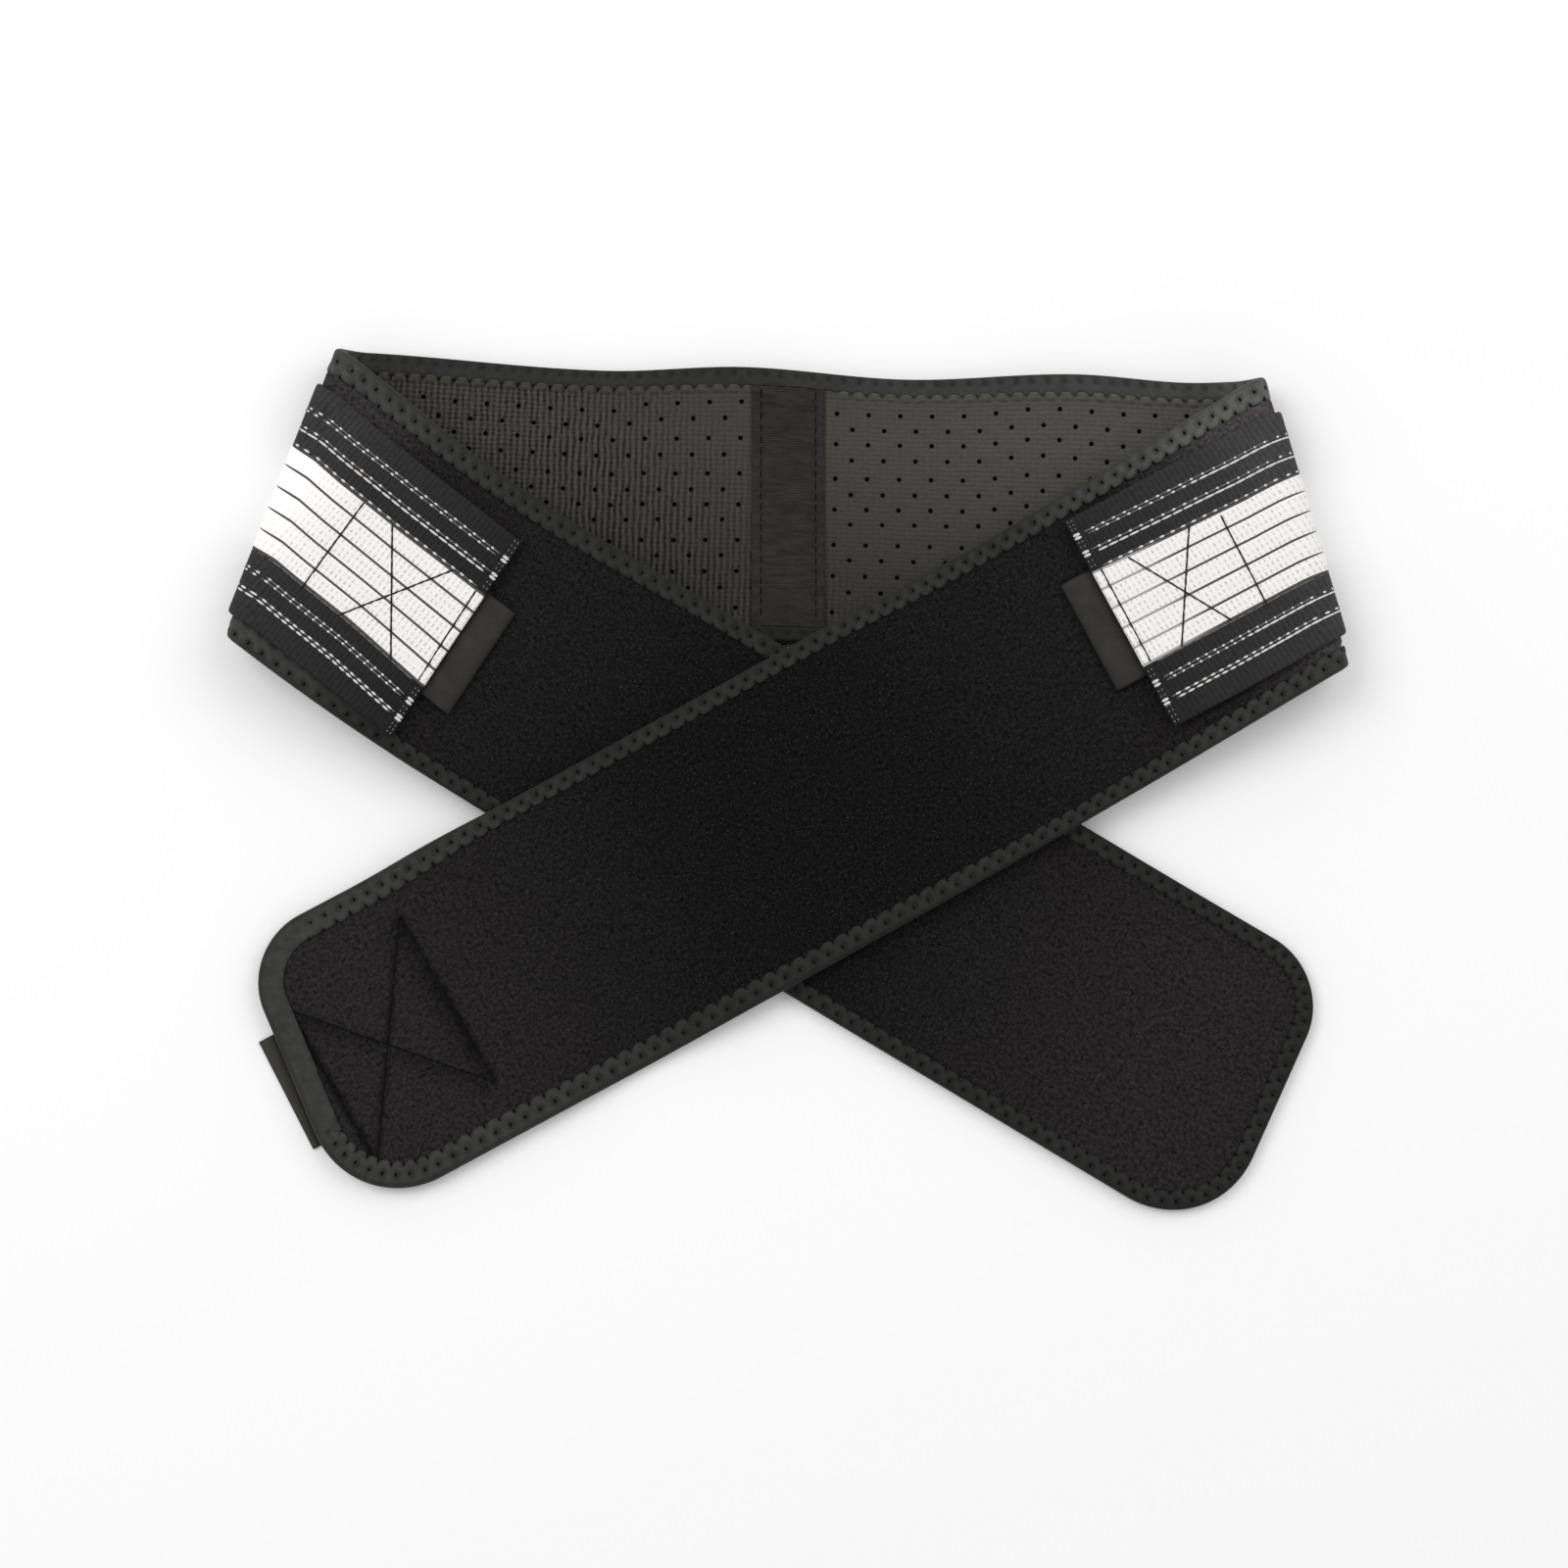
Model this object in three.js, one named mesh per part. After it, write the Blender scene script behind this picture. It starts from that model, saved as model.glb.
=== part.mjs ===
import * as THREE from 'three';

// Sacroiliac belt, laid on a table: the back panel lies with its inner face up, and both wings are
// folded over it and crossed, the right wing on top. Millimetres, +Z up, X along the back panel.

const { degToRad, lerp, clamp, smoothstep } = THREE.MathUtils;

// The belt cut flat
const BELT_WIDTH = 100;
const UPPER_CORNER = 23;
const LOWER_CORNER = 33;
const PLUSH_THICK = 1.3;
const LINING_THICK = 1.4;
const BINDING_TAPE = 0.55;
const BINDING_FACE = 6;
const BINDING_EDGE = 1;
const GAP = 0.3;

// Straps, hook tape and the casing on the back
const STRAP_WIDTH = 79;
const STRAP_THICK = 1.7;
const HOOK_THICK = 1.45;
const HOOK_TAB_WIDTH = 41;
const HOOK_TAB_CORNER = 1;
const CHANNEL_WIDTH = 25.2;
const CHANNEL_LENGTH = 86.6;
const CHANNEL_EDGE_THICK = 0.7;
const CHANNEL_CROWN = 0.35;
const CHANNEL_CENTRE = -1.1;
const CHANNEL_LEAN = -0.026;

// How it lies: radius of the folds, and the runs over which the cloth comes down
const FOLD_RADIUS = 7.5;
const SETTLE_RUN = 105;
const BACK_EDGE_Y = -48;
const LANDING_Y = -135;
const CROSSING_RUN = 45;
const CROSSING_AIR = 0.5;
const PATCH_RUN = 46;
const STRAP_LIFT_RUN = 10;

// Each side, in degrees and in millimetres from the middle of the back. The fold line leans from square,
// and past it the wing bends a little in its own plane, which its cloth takes up.
const LEFT = {
  side: -1, foldAt: 163.6, lean: 17.74, bend: -6.14, bendFrom: 19, bendTo: 87, length: 384.2, endSlant: -5.3,
};
const RIGHT = {
  side: 1, foldAt: 165.4, lean: 16, bend: -2.07, bendFrom: 32, bendTo: 258, length: 380.4, endSlant: -4.2,
};

// Straps and their hook tabs: places across the belt, and ends past the fold
const STRAPS = [
  { name: 'left', wing: LEFT, across: -3.6, turn: 0, end: 69, endSlant: -4.3, tabAcross: -5.3, tabEnd: 81 },
  { name: 'right', wing: RIGHT, across: -1.8, turn: 3, end: 64.2, endSlant: -3.6, tabAcross: -1.1, tabEnd: 75.6 },
];
const STRAP_START = 0.5;
const TAB_UNDER_STRAP = 50;

// Hook patch under the right wing's tip: a wide sewn part, and a narrower grip past the tip
const PATCH = { start: 316, shoulder: 372, half: 32, gripHalf: 20.2, gripAcross: -1.3, gripPast: 4.7 };

// Waves of the back panel's free top edge: how far the edge shifts and how far it lifts
const TOP_EDGE_WAVES = [
  { at: -240, shift: 0, lift: 0 },
  { at: -160, shift: 2.4, lift: 0 },
  { at: -65, shift: -1.2, lift: 0 },
  { at: -18, shift: 0.4, lift: 2 },
  { at: 38, shift: -1.6, lift: 0 },
  { at: 98, shift: 1, lift: 2 },
  { at: 136, shift: -0.6, lift: 0 },
  { at: 165, shift: 0.8, lift: 0 },
  { at: 220, shift: 0, lift: 0 },
];

// The back's lower edge draws in towards the middle, out to a share of the way to the folds
const BACK_WAIST = 4.2;
const WAIST_REACH = 0.8;

// Rows along each side of the belt, and columns across it
const BACK_STEPS = 10;
const FOLD_STEPS = 12;
const WING_STEPS = 22;
const CORNER_STEPS = 5;
const STRAP_BACK_STEPS = 4;
const STRAP_WING_STEPS = 9;
const CHANNEL_STEPS = 4;
const SQUARE_REACH = 20;
const CLOTH_COLUMNS = [-1, -0.9, -0.45, 0, 0.45, 0.9, 1];
const STRAP_COLUMNS = [-1, -0.5, 0, 0.5, 1];
const TAB_COLUMNS = [-1, 0, 1];
const CHANNEL_COLUMNS = [-1, -0.75, -0.5, -0.25, 0, 0.25, 0.5, 0.75, 1];

// Layers: distances from the middle of the cloth, positive towards the lining
const PLUSH = { inner: -GAP / 2, outer: -GAP / 2 - PLUSH_THICK };
const LINING = { inner: GAP / 2, outer: GAP / 2 + LINING_THICK };
const BINDING_LOW = PLUSH.outer - GAP - BINDING_TAPE;
const BINDING_HIGH = LINING.outer + GAP + BINDING_TAPE;
const STRAP = { inner: BINDING_LOW - GAP, outer: BINDING_LOW - GAP - STRAP_THICK };
const TAB = { inner: PLUSH.outer - GAP, outer: PLUSH.outer - GAP - HOOK_THICK };
const STRAP_LIFT = STRAP.inner - (TAB.outer - GAP);
const FRONT_PATCH = { inner: BINDING_HIGH + GAP, outer: BINDING_HIGH + GAP + HOOK_THICK };
const CHANNEL_BASE = LINING.outer + GAP;
const CHANNEL_TOP = CHANNEL_BASE + CHANNEL_EDGE_THICK + CHANNEL_CROWN;

// Heights of the middle of the cloth above the table
const BACK_HEIGHT = -STRAP.outer;
const FOLD_TOP = BACK_HEIGHT + 2 * FOLD_RADIUS;
const OVER_BACK_HEIGHT = BACK_HEIGHT + CHANNEL_TOP + GAP + BINDING_HIGH;
const TABLE_HEIGHT = BINDING_HIGH;
const WING_STEP = BINDING_HIGH - BINDING_LOW + CROSSING_AIR;
const PATCH_LIFT = FRONT_PATCH.outer - TABLE_HEIGHT;

// Values that follow from each side's fold
for (const wing of [LEFT, RIGHT]) {
  const lean = degToRad(wing.lean);
  wing.cos = Math.cos(lean);
  wing.sin = Math.sin(lean);
  wing.heading = Math.PI + 2 * lean;
  wing.foldRun = Math.PI * FOLD_RADIUS / wing.cos;
  wing.wingStart = wing.foldAt + wing.foldRun;
  wing.total = wing.wingStart + wing.length;
  wing.startX = wing.foldAt + wing.foldRun * wing.sin ** 2;
  wing.startY = -wing.foldRun * wing.sin * wing.cos;
}

// Plan of a wing past its fold, with X outwards: straight, a slight arc, and straight again.
function wingPlan(wing, along, across, bend) {
  const turned = degToRad(bend);
  const arcLength = clamp(along - wing.bendFrom, 0, wing.bendTo - wing.bendFrom);
  const arcTurn = turned * arcLength / (wing.bendTo - wing.bendFrom);
  const heading = wing.heading + arcTurn;
  const before = Math.min(along, wing.bendFrom);
  const after = Math.max(along - wing.bendTo, 0);
  const chord = arcTurn === 0 ? arcLength : arcLength * Math.sin(arcTurn / 2) / (arcTurn / 2);
  const chordHeading = wing.heading + arcTurn / 2;
  const x = wing.startX + before * Math.cos(wing.heading) + chord * Math.cos(chordHeading)
    + after * Math.cos(heading) + across * Math.sin(heading);
  const y = wing.startY + before * Math.sin(wing.heading) + chord * Math.sin(chordHeading)
    + after * Math.sin(heading) - across * Math.cos(heading);
  return { x, y };
}

// Distance of a plan point from the left wing's straight middle line, where the right wing crosses it
const leftLine = [LEFT.bendTo, LEFT.length].map((along) => {
  const { x, y } = wingPlan(LEFT, along, 0, LEFT.bend);
  return new THREE.Vector2(LEFT.side * x, y);
});
const leftLineAcross = leftLine[1].clone().sub(leftLine[0]).normalize().rotateAround(new THREE.Vector2(), Math.PI / 2);

function distanceFromLeftWing(x, y) {
  return Math.abs(new THREE.Vector2(x, y).sub(leftLine[0]).dot(leftLineAcross));
}

// Height of a wing: from the fold it settles on the back panel, then on the table past the panel's edge.
// The right wing also climbs over the left one, and its tip lies on its hook patch.
function wingHeight(wing, x, y, along) {
  let rest = lerp(TABLE_HEIGHT, OVER_BACK_HEIGHT, smoothstep(y, LANDING_Y, BACK_EDGE_Y));
  if (wing === RIGHT) {
    const overLeft = wingHeight(LEFT, x, y, 0) + WING_STEP;
    const clearOfLeft = BELT_WIDTH / 2 + 2;
    rest = lerp(overLeft, rest, smoothstep(distanceFromLeftWing(x, y), clearOfLeft, clearOfLeft + CROSSING_RUN));
    rest += PATCH_LIFT * smoothstep(along, PATCH.start - PATCH_RUN, PATCH.start - 2);
  }
  const fromFold = (wing.foldAt - wing.side * x) * wing.cos - y * wing.sin;
  return lerp(FOLD_TOP, rest, smoothstep(fromFold, 0, SETTLE_RUN));
}

// A column of a table between its rows, eased from row to row
function easedColumn(rows, at, column) {
  const next = rows.findIndex((row) => row.at > at);
  if (next <= 0) return 0;
  const from = rows[next - 1];
  const to = rows[next];
  return lerp(from[column], to[column], smoothstep(at, from.at, to.at));
}

// Middle surface of the folded cloth, from the distance along the belt (left negative) and across it.
// The belt has its wavy top edge and bent wings; a strap is straight and flat on the back.
function beltSurface(s, t) {
  const wing = s < 0 ? LEFT : RIGHT;
  const point = foldedPoint(wing, Math.abs(s), t, wing.bend);
  const onBack = 1 - smoothstep(Math.abs(s), 0, wing.foldAt * WAIST_REACH);
  if (t < 0) point.y += BACK_WAIST * onBack * -t / (BELT_WIDTH / 2);
  const upper = Math.max(t, 0) / (BELT_WIDTH / 2);
  point.y += easedColumn(TOP_EDGE_WAVES, s, 'shift') * upper ** 2;
  point.z += easedColumn(TOP_EDGE_WAVES, s, 'lift') * upper ** 2;
  return point;
}

function strapSurface(s, t) {
  return foldedPoint(s < 0 ? LEFT : RIGHT, Math.abs(s), t, 0);
}

function foldedPoint(wing, u, t, bend) {
  const pastFold = (u - wing.foldAt) * wing.cos + t * wing.sin;
  const alongFold = (wing.foldAt - u) * wing.sin + t * wing.cos;
  const turn = clamp(pastFold / FOLD_RADIUS, 0, Math.PI);
  if (turn === Math.PI) {
    const along = u - wing.wingStart;
    const { x, y } = wingPlan(wing, along, t, bend);
    return new THREE.Vector3(wing.side * x, y, wingHeight(wing, wing.side * x, y, along));
  }
  const out = pastFold < 0 ? pastFold : FOLD_RADIUS * Math.sin(turn);
  const x = wing.foldAt - alongFold * wing.sin + out * wing.cos;
  const y = alongFold * wing.cos + out * wing.sin;
  return new THREE.Vector3(wing.side * x, y, BACK_HEIGHT + FOLD_RADIUS * (1 - Math.cos(turn)));
}

// A point a given distance off the middle surface, on the lining's side where positive
function offSurface(surface, s, t, distance) {
  const reach = 0.5;
  const alongBelt = surface(s + reach, t).sub(surface(s - reach, t));
  const acrossBelt = surface(s, t + reach).sub(surface(s, t - reach));
  const normal = alongBelt.cross(acrossBelt).normalize();
  return surface(s, t).addScaledVector(normal, distance);
}

// A closed solid through a list of like sections, each a loop of points; a ring joins its last to its first.
// Faces that run back along the loop are split on the other diagonal, so that layers one on another stay apart.
function sweep(sections, runsBack, ring = false) {
  const size = sections[0].length;
  const positions = sections.flat().flatMap((point) => point.toArray());
  const index = [];
  const quad = (a, b, c, d) => index.push(a, b, c, a, c, d);
  const spans = ring ? sections.length : sections.length - 1;
  for (let i = 0; i < spans; i += 1) {
    const here = i * size;
    const there = ((i + 1) % sections.length) * size;
    for (let k = 0; k < size; k += 1) {
      const next = (k + 1) % size;
      if (runsBack(k)) quad(there + k, there + next, here + next, here + k);
      else quad(here + k, there + k, there + next, here + next);
    }
  }
  if (!ring) {
    const last = (sections.length - 1) * size;
    for (let k = 0; k < size / 2 - 1; k += 1) {
      quad(k, k + 1, size - 2 - k, size - 1 - k);
      quad(last + size - 1 - k, last + size - 2 - k, last + k + 1, last + k);
    }
  }
  const geometry = new THREE.BufferGeometry();
  geometry.setAttribute('position', new THREE.Float32BufferAttribute(positions, 3));
  geometry.setIndex(index);
  geometry.computeVertexNormals();
  return geometry;
}

// A cloth wall through its sections, which run across on the lining's side and back on the plush's
function wall(sections) {
  const half = sections[0].length / 2;
  return sweep(sections, (k) => k >= half);
}

// One section of a cloth wall: its lining side across the cloth, then its plush side back again
function wallSection(surface, flatPoint, columns, faces) {
  const place = (step, face) => {
    const [s, t] = flatPoint(step);
    return offSurface(surface, s, t, face);
  };
  return [
    ...columns.map((step) => place(step, faces.high)),
    ...columns.toReversed().map((step) => place(step, faces.low)),
  ];
}

// Rows lie square at the middle of the back, along the fold line at the fold, and on the slant of the end.
function rowSlope(wing, along, endSlant, end) {
  const foldSlope = -wing.sin / wing.cos;
  if (along < wing.wingStart) return foldSlope * smoothstep(along, SQUARE_REACH, wing.foldAt - SQUARE_REACH);
  return lerp(foldSlope, Math.tan(degToRad(endSlant)), smoothstep(along, wing.wingStart, end));
}

// The end of a row on one edge of the belt: edge is -1 on the lower one and 1 on the upper one, and inset is
// how far it is set in from the belt's edge. Corner is how far it has turned round the tip's corner.
function rowEnd(wing, edge, radius, along, corner, inset) {
  const run = along + (corner > 0 ? (radius - inset) * Math.sin(corner) : 0);
  const half = BELT_WIDTH / 2 - radius + (radius - inset) * Math.cos(corner);
  const t = edge * half;
  return new THREE.Vector2(wing.side * (run + t * rowSlope(wing, run, wing.endSlant, wing.total)), t);
}

// Rows of one side, from the middle of the back to the tip, each with its end on either edge
function sideRows(wing) {
  const rows = [];
  const addRow = (lowerAlong, upperAlong, corner) => rows.push({
    lower: (inset) => rowEnd(wing, -1, LOWER_CORNER, lowerAlong, corner, inset),
    upper: (inset) => rowEnd(wing, 1, UPPER_CORNER, upperAlong, corner, inset),
  });
  const straight = (from, lowerTo, upperTo, steps) => {
    for (let i = 0; i < steps; i += 1) addRow(lerp(from, lowerTo, i / steps), lerp(from, upperTo, i / steps), 0);
  };
  const lowerTurn = wing.total - LOWER_CORNER;
  const upperTurn = wing.total - UPPER_CORNER;
  straight(0, wing.foldAt, wing.foldAt, BACK_STEPS);
  straight(wing.foldAt, wing.wingStart, wing.wingStart, FOLD_STEPS);
  straight(wing.wingStart, lowerTurn, upperTurn, WING_STEPS);
  for (let i = 0; i <= CORNER_STEPS; i += 1) addRow(lowerTurn, upperTurn, (i / CORNER_STEPS) * Math.PI / 2);
  return rows;
}

// A place on a row set in from both edges, from -1 at its lower end to 1 at its upper end
function beltFlat(row, inset, step) {
  return row.lower(inset).lerp(row.upper(inset), (step + 1) / 2).toArray();
}

const beltRows = [...sideRows(LEFT).reverse(), ...sideRows(RIGHT).slice(1)];

function clothLayer(layer) {
  const faces = { high: Math.max(layer.inner, layer.outer), low: Math.min(layer.inner, layer.outer) };
  const inset = BINDING_EDGE + GAP;
  return wall(beltRows.map((row) => wallSection(
    beltSurface, (step) => beltFlat(row, inset, step), CLOTH_COLUMNS, faces,
  )));
}

// Binding tape: a channel section round the whole edge, given as set-in from the edge and layer distance
function bindingLayer() {
  const insideHigh = BINDING_HIGH - BINDING_TAPE;
  const insideLow = BINDING_LOW + BINDING_TAPE;
  const round = 0.9;
  const profile = [
    { inset: round, layer: BINDING_HIGH },
    { inset: BINDING_FACE, layer: BINDING_HIGH },
    { inset: BINDING_FACE, layer: insideHigh },
    { inset: BINDING_EDGE, layer: insideHigh },
    { inset: BINDING_EDGE, layer: insideLow },
    { inset: BINDING_FACE, layer: insideLow },
    { inset: BINDING_FACE, layer: BINDING_LOW },
    { inset: round, layer: BINDING_LOW },
    { inset: 0, layer: BINDING_LOW + round },
    { inset: 0, layer: BINDING_HIGH - round },
  ];
  const section = (row, edge) => profile.map(({ inset, layer }) => {
    const [s, t] = beltFlat(row, inset, edge);
    return offSurface(beltSurface, s, t, layer);
  });
  const lowerEdge = beltRows.map((row) => section(row, -1));
  const upperEdge = beltRows.map((row) => section(row, 1)).reverse();
  const runsBack = (k) => profile[k].inset > profile[(k + 1) % profile.length].inset;
  return sweep([...lowerEdge, ...upperEdge], runsBack, true);
}

// Rows of a strap or tab on its own straight line, from one distance past the fold to another
function strapFlat(strap, along, across, step) {
  const { wing } = strap;
  const pastFold = Math.max(along - wing.wingStart, 0);
  const t = across + step + pastFold * Math.tan(degToRad(strap.turn));
  const slope = rowSlope(wing, along, strap.endSlant, wing.wingStart + strap.end);
  return [wing.side * (along + step * slope), t];
}

function inOrder(wing, sections) {
  return wing.side < 0 ? sections.reverse() : sections;
}

// Elastic strap: under the back, round the fold, and on the wing, where it lifts over its hook tab
function strapLayer(strap) {
  const { wing } = strap;
  const stretches = [
    { from: STRAP_START, to: wing.foldAt, steps: STRAP_BACK_STEPS },
    { from: wing.foldAt, to: wing.wingStart, steps: FOLD_STEPS },
    { from: wing.wingStart, to: wing.wingStart + strap.end, steps: STRAP_WING_STEPS },
  ];
  const rows = stretches.flatMap(({ from, to, steps }) => (
    Array.from({ length: steps }, (_, i) => lerp(from, to, i / steps))));
  rows.push(wing.wingStart + strap.end);
  const tabStart = wing.wingStart + strap.end - TAB_UNDER_STRAP;
  const sections = rows.map((along) => {
    const lift = STRAP_LIFT * smoothstep(along, tabStart - 4 - STRAP_LIFT_RUN, tabStart - 4);
    const faces = { high: STRAP.inner - lift, low: STRAP.outer - lift };
    const flat = (step) => strapFlat(strap, along, strap.across, step * STRAP_WIDTH / 2);
    return wallSection(strapSurface, flat, STRAP_COLUMNS, faces);
  });
  return wall(inOrder(wing, sections));
}

// Hook tab under a strap's end, with its grip standing past the strap
function hookTabLayer(strap) {
  const { wing } = strap;
  const start = wing.wingStart + strap.end - TAB_UNDER_STRAP;
  const end = wing.wingStart + strap.tabEnd;
  const wide = HOOK_TAB_WIDTH / 2;
  const rows = [
    { along: start, half: wide - HOOK_TAB_CORNER },
    { along: start + HOOK_TAB_CORNER, half: wide },
    ...[0.25, 0.5, 0.75].map((part) => ({ along: lerp(start, end, part), half: wide })),
    { along: end - HOOK_TAB_CORNER, half: wide },
    { along: end, half: wide - HOOK_TAB_CORNER },
  ];
  const faces = { high: TAB.inner, low: TAB.outer };
  const sections = rows.map(({ along, half }) => {
    const flat = (step) => strapFlat(strap, along, strap.tabAcross, step * half);
    return wallSection(strapSurface, flat, TAB_COLUMNS, faces);
  });
  return wall(inOrder(wing, sections));
}

// Hook patch under the right wing's tip, on the lining's side
function frontPatchLayer() {
  const wing = RIGHT;
  const rows = [
    { along: PATCH.start, half: PATCH.half, across: 0 },
    { along: lerp(PATCH.start, PATCH.shoulder, 0.5), half: PATCH.half, across: 0 },
    { along: PATCH.shoulder, half: PATCH.half, across: 0 },
    { along: PATCH.shoulder + 2, half: PATCH.gripHalf, across: PATCH.gripAcross },
    { along: wing.length + PATCH.gripPast, half: PATCH.gripHalf, across: PATCH.gripAcross },
  ];
  const faces = { high: FRONT_PATCH.outer, low: FRONT_PATCH.inner };
  return wall(rows.map(({ along, half, across }) => {
    const flat = (step) => [wing.wingStart + along, across + step * half];
    return wallSection(beltSurface, flat, TAB_COLUMNS, faces);
  }));
}

// Casing up the middle of the back, crowned between its two sewn edges
function channelLayer() {
  const sections = Array.from({ length: CHANNEL_STEPS + 1 }, (_, i) => {
    const side = (2 * i) / CHANNEL_STEPS - 1;
    const crown = CHANNEL_CROWN * (1 - side ** 2);
    const faces = { high: CHANNEL_BASE + CHANNEL_EDGE_THICK + crown, low: CHANNEL_BASE };
    const flat = (step) => {
      const t = step * CHANNEL_LENGTH / 2;
      return [CHANNEL_CENTRE + side * CHANNEL_WIDTH / 2 + t * CHANNEL_LEAN, t];
    };
    return wallSection(beltSurface, flat, CHANNEL_COLUMNS, faces);
  });
  return wall(sections);
}

function cloth(color, roughness) {
  return new THREE.MeshStandardMaterial({ color, roughness, metalness: 0 });
}

const belt = new THREE.Group();

function addPiece(name, geometry, material) {
  const piece = new THREE.Mesh(geometry, material);
  piece.name = name;
  belt.add(piece);
}

addPiece('outer_plush', clothLayer(PLUSH), cloth('#1c1b1d', 0.95));
addPiece('inner_lining', clothLayer(LINING), cloth('#3a3935', 0.8));
addPiece('edge_binding', bindingLayer(), cloth('#333331', 0.7));
addPiece('centre_channel', channelLayer(), cloth('#2c2b29', 0.75));
for (const strap of STRAPS) {
  addPiece(`strap_${strap.name}`, strapLayer(strap), cloth('#e9e6e4', 0.85));
  addPiece(`hook_tab_${strap.name}`, hookTabLayer(strap), cloth('#33322e', 0.55));
}
addPiece('hook_tab_front', frontPatchLayer(), cloth('#33322e', 0.55));

// The belt stands on the table at the middle of its own plan.
const bounds = new THREE.Box3().setFromObject(belt);
const middle = bounds.getCenter(new THREE.Vector3());
belt.position.set(-middle.x, -middle.y, -bounds.min.z);

export default belt;
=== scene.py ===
import math
from types import SimpleNamespace

import bpy
import numpy as np
from mathutils import Matrix, Vector, noise


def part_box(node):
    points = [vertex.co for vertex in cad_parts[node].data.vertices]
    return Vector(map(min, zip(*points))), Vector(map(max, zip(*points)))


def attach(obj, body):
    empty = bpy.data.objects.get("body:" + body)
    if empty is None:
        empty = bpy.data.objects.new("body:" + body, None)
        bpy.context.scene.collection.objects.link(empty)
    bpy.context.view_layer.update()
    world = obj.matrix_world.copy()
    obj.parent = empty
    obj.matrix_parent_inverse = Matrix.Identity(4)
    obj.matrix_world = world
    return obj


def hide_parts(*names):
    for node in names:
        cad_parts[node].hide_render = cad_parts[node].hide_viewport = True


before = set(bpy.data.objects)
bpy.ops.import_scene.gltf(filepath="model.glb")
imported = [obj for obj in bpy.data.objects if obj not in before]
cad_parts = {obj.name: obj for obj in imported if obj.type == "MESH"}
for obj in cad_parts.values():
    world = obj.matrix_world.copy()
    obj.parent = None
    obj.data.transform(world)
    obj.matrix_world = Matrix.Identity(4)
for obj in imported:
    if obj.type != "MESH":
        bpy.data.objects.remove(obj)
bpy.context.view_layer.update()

# Camera
# It hangs almost straight above the belt, leans back from the crossed wings and is turned by a degree
# and a half, so that the belt lies in the picture as it does in the photograph.
MM = 0.001
IMAGE_PIXELS = 1600
FOCAL_PIXELS = 2700
SENSOR_WIDTH = 36
CAMERA_ELEVATION = math.radians(81.04)
CAMERA_ROLL = math.radians(1.55)
CAMERA_DISTANCE = 900 * MM
CAMERA_TARGET = Vector((0, -3.84, 0)) * MM

backward = Vector((0, -math.cos(CAMERA_ELEVATION), math.sin(CAMERA_ELEVATION)))
level_right = Vector((1, 0, 0))
level_up = backward.cross(level_right)
right = math.cos(CAMERA_ROLL) * level_right + math.sin(CAMERA_ROLL) * level_up
up = backward.cross(right)
camera = bpy.data.objects.new("camera", bpy.data.cameras.new("camera"))
camera.data.sensor_width = SENSOR_WIDTH
camera.data.lens = FOCAL_PIXELS / IMAGE_PIXELS * SENSOR_WIDTH
camera.matrix_world = Matrix((right, up, backward)).transposed().to_4x4()
camera.location = CAMERA_TARGET + backward * CAMERA_DISTANCE
bpy.context.scene.collection.objects.link(camera)
bpy.context.scene.camera = camera

# Floor and light
# A plain white table top without a seam, under a bright even sky and two large soft lamps.
# The lamp on the left is the stronger, so raised edges show a little shade on their right.
bpy.context.scene.view_settings.view_transform = "Standard"
FLOOR_HALF = 4.0
FLOOR_COLOUR = "#f4f4f4"
SKY_COLOUR = "#ffffff"
SKY_STRENGTH = 0.7


def linear(hex_colour):
    """An sRGB hex colour as linear red, green, blue and alpha."""
    channels = [int(hex_colour[i:i + 2], 16) / 255 for i in (1, 3, 5)]
    return [c / 12.92 if c <= 0.04045 else ((c + 0.055) / 1.055) ** 2.4 for c in channels] + [1]


def add_node(tree, kind, inputs=None, **settings):
    """Adds a node to a material: its own settings, and its inputs as values or as links from sockets."""
    node = tree.nodes.new(kind)
    for name, value in settings.items():
        setattr(node, name, value)
    for socket, value in (inputs or {}).items():
        if isinstance(value, bpy.types.NodeSocket):
            tree.links.new(value, node.inputs[socket])
        else:
            node.inputs[socket].default_value = value
    return node


def new_material(name, **values):
    """A material with its own Principled shader; values set the shader's sockets by their names."""
    material = bpy.data.materials.new(name)
    material.use_nodes = True
    shader = material.node_tree.nodes["Principled BSDF"]
    for socket, value in values.items():
        shader.inputs[socket.replace("_", " ")].default_value = value
    return material


def add_lamp(name, place, size, power):
    """A round soft lamp that points at the middle of the table; place and size in metres, power in watts."""
    lamp = bpy.data.objects.new(name, bpy.data.lights.new(name, "AREA"))
    lamp.data.shape = "DISK"
    lamp.data.size = size
    lamp.data.energy = power
    lamp.location = place
    lamp.rotation_euler = (-Vector(place)).to_track_quat("-Z", "Y").to_euler()
    bpy.context.scene.collection.objects.link(lamp)


# Matt white laminate: an even pale ground that takes a soft contact shadow
laminate = new_material("white_laminate", Base_Color=linear(FLOOR_COLOUR), Roughness=0.9)
floor_mesh = bpy.data.meshes.new("table_top")
floor_corners = [(x * FLOOR_HALF, y * FLOOR_HALF, 0) for x, y in [(-1, -1), (1, -1), (1, 1), (-1, 1)]]
floor_mesh.from_pydata(floor_corners, [], [(0, 1, 2, 3)])
floor_mesh.materials.append(laminate)
floor = bpy.data.objects.new("table_top", floor_mesh)
bpy.context.scene.collection.objects.link(floor)

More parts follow.
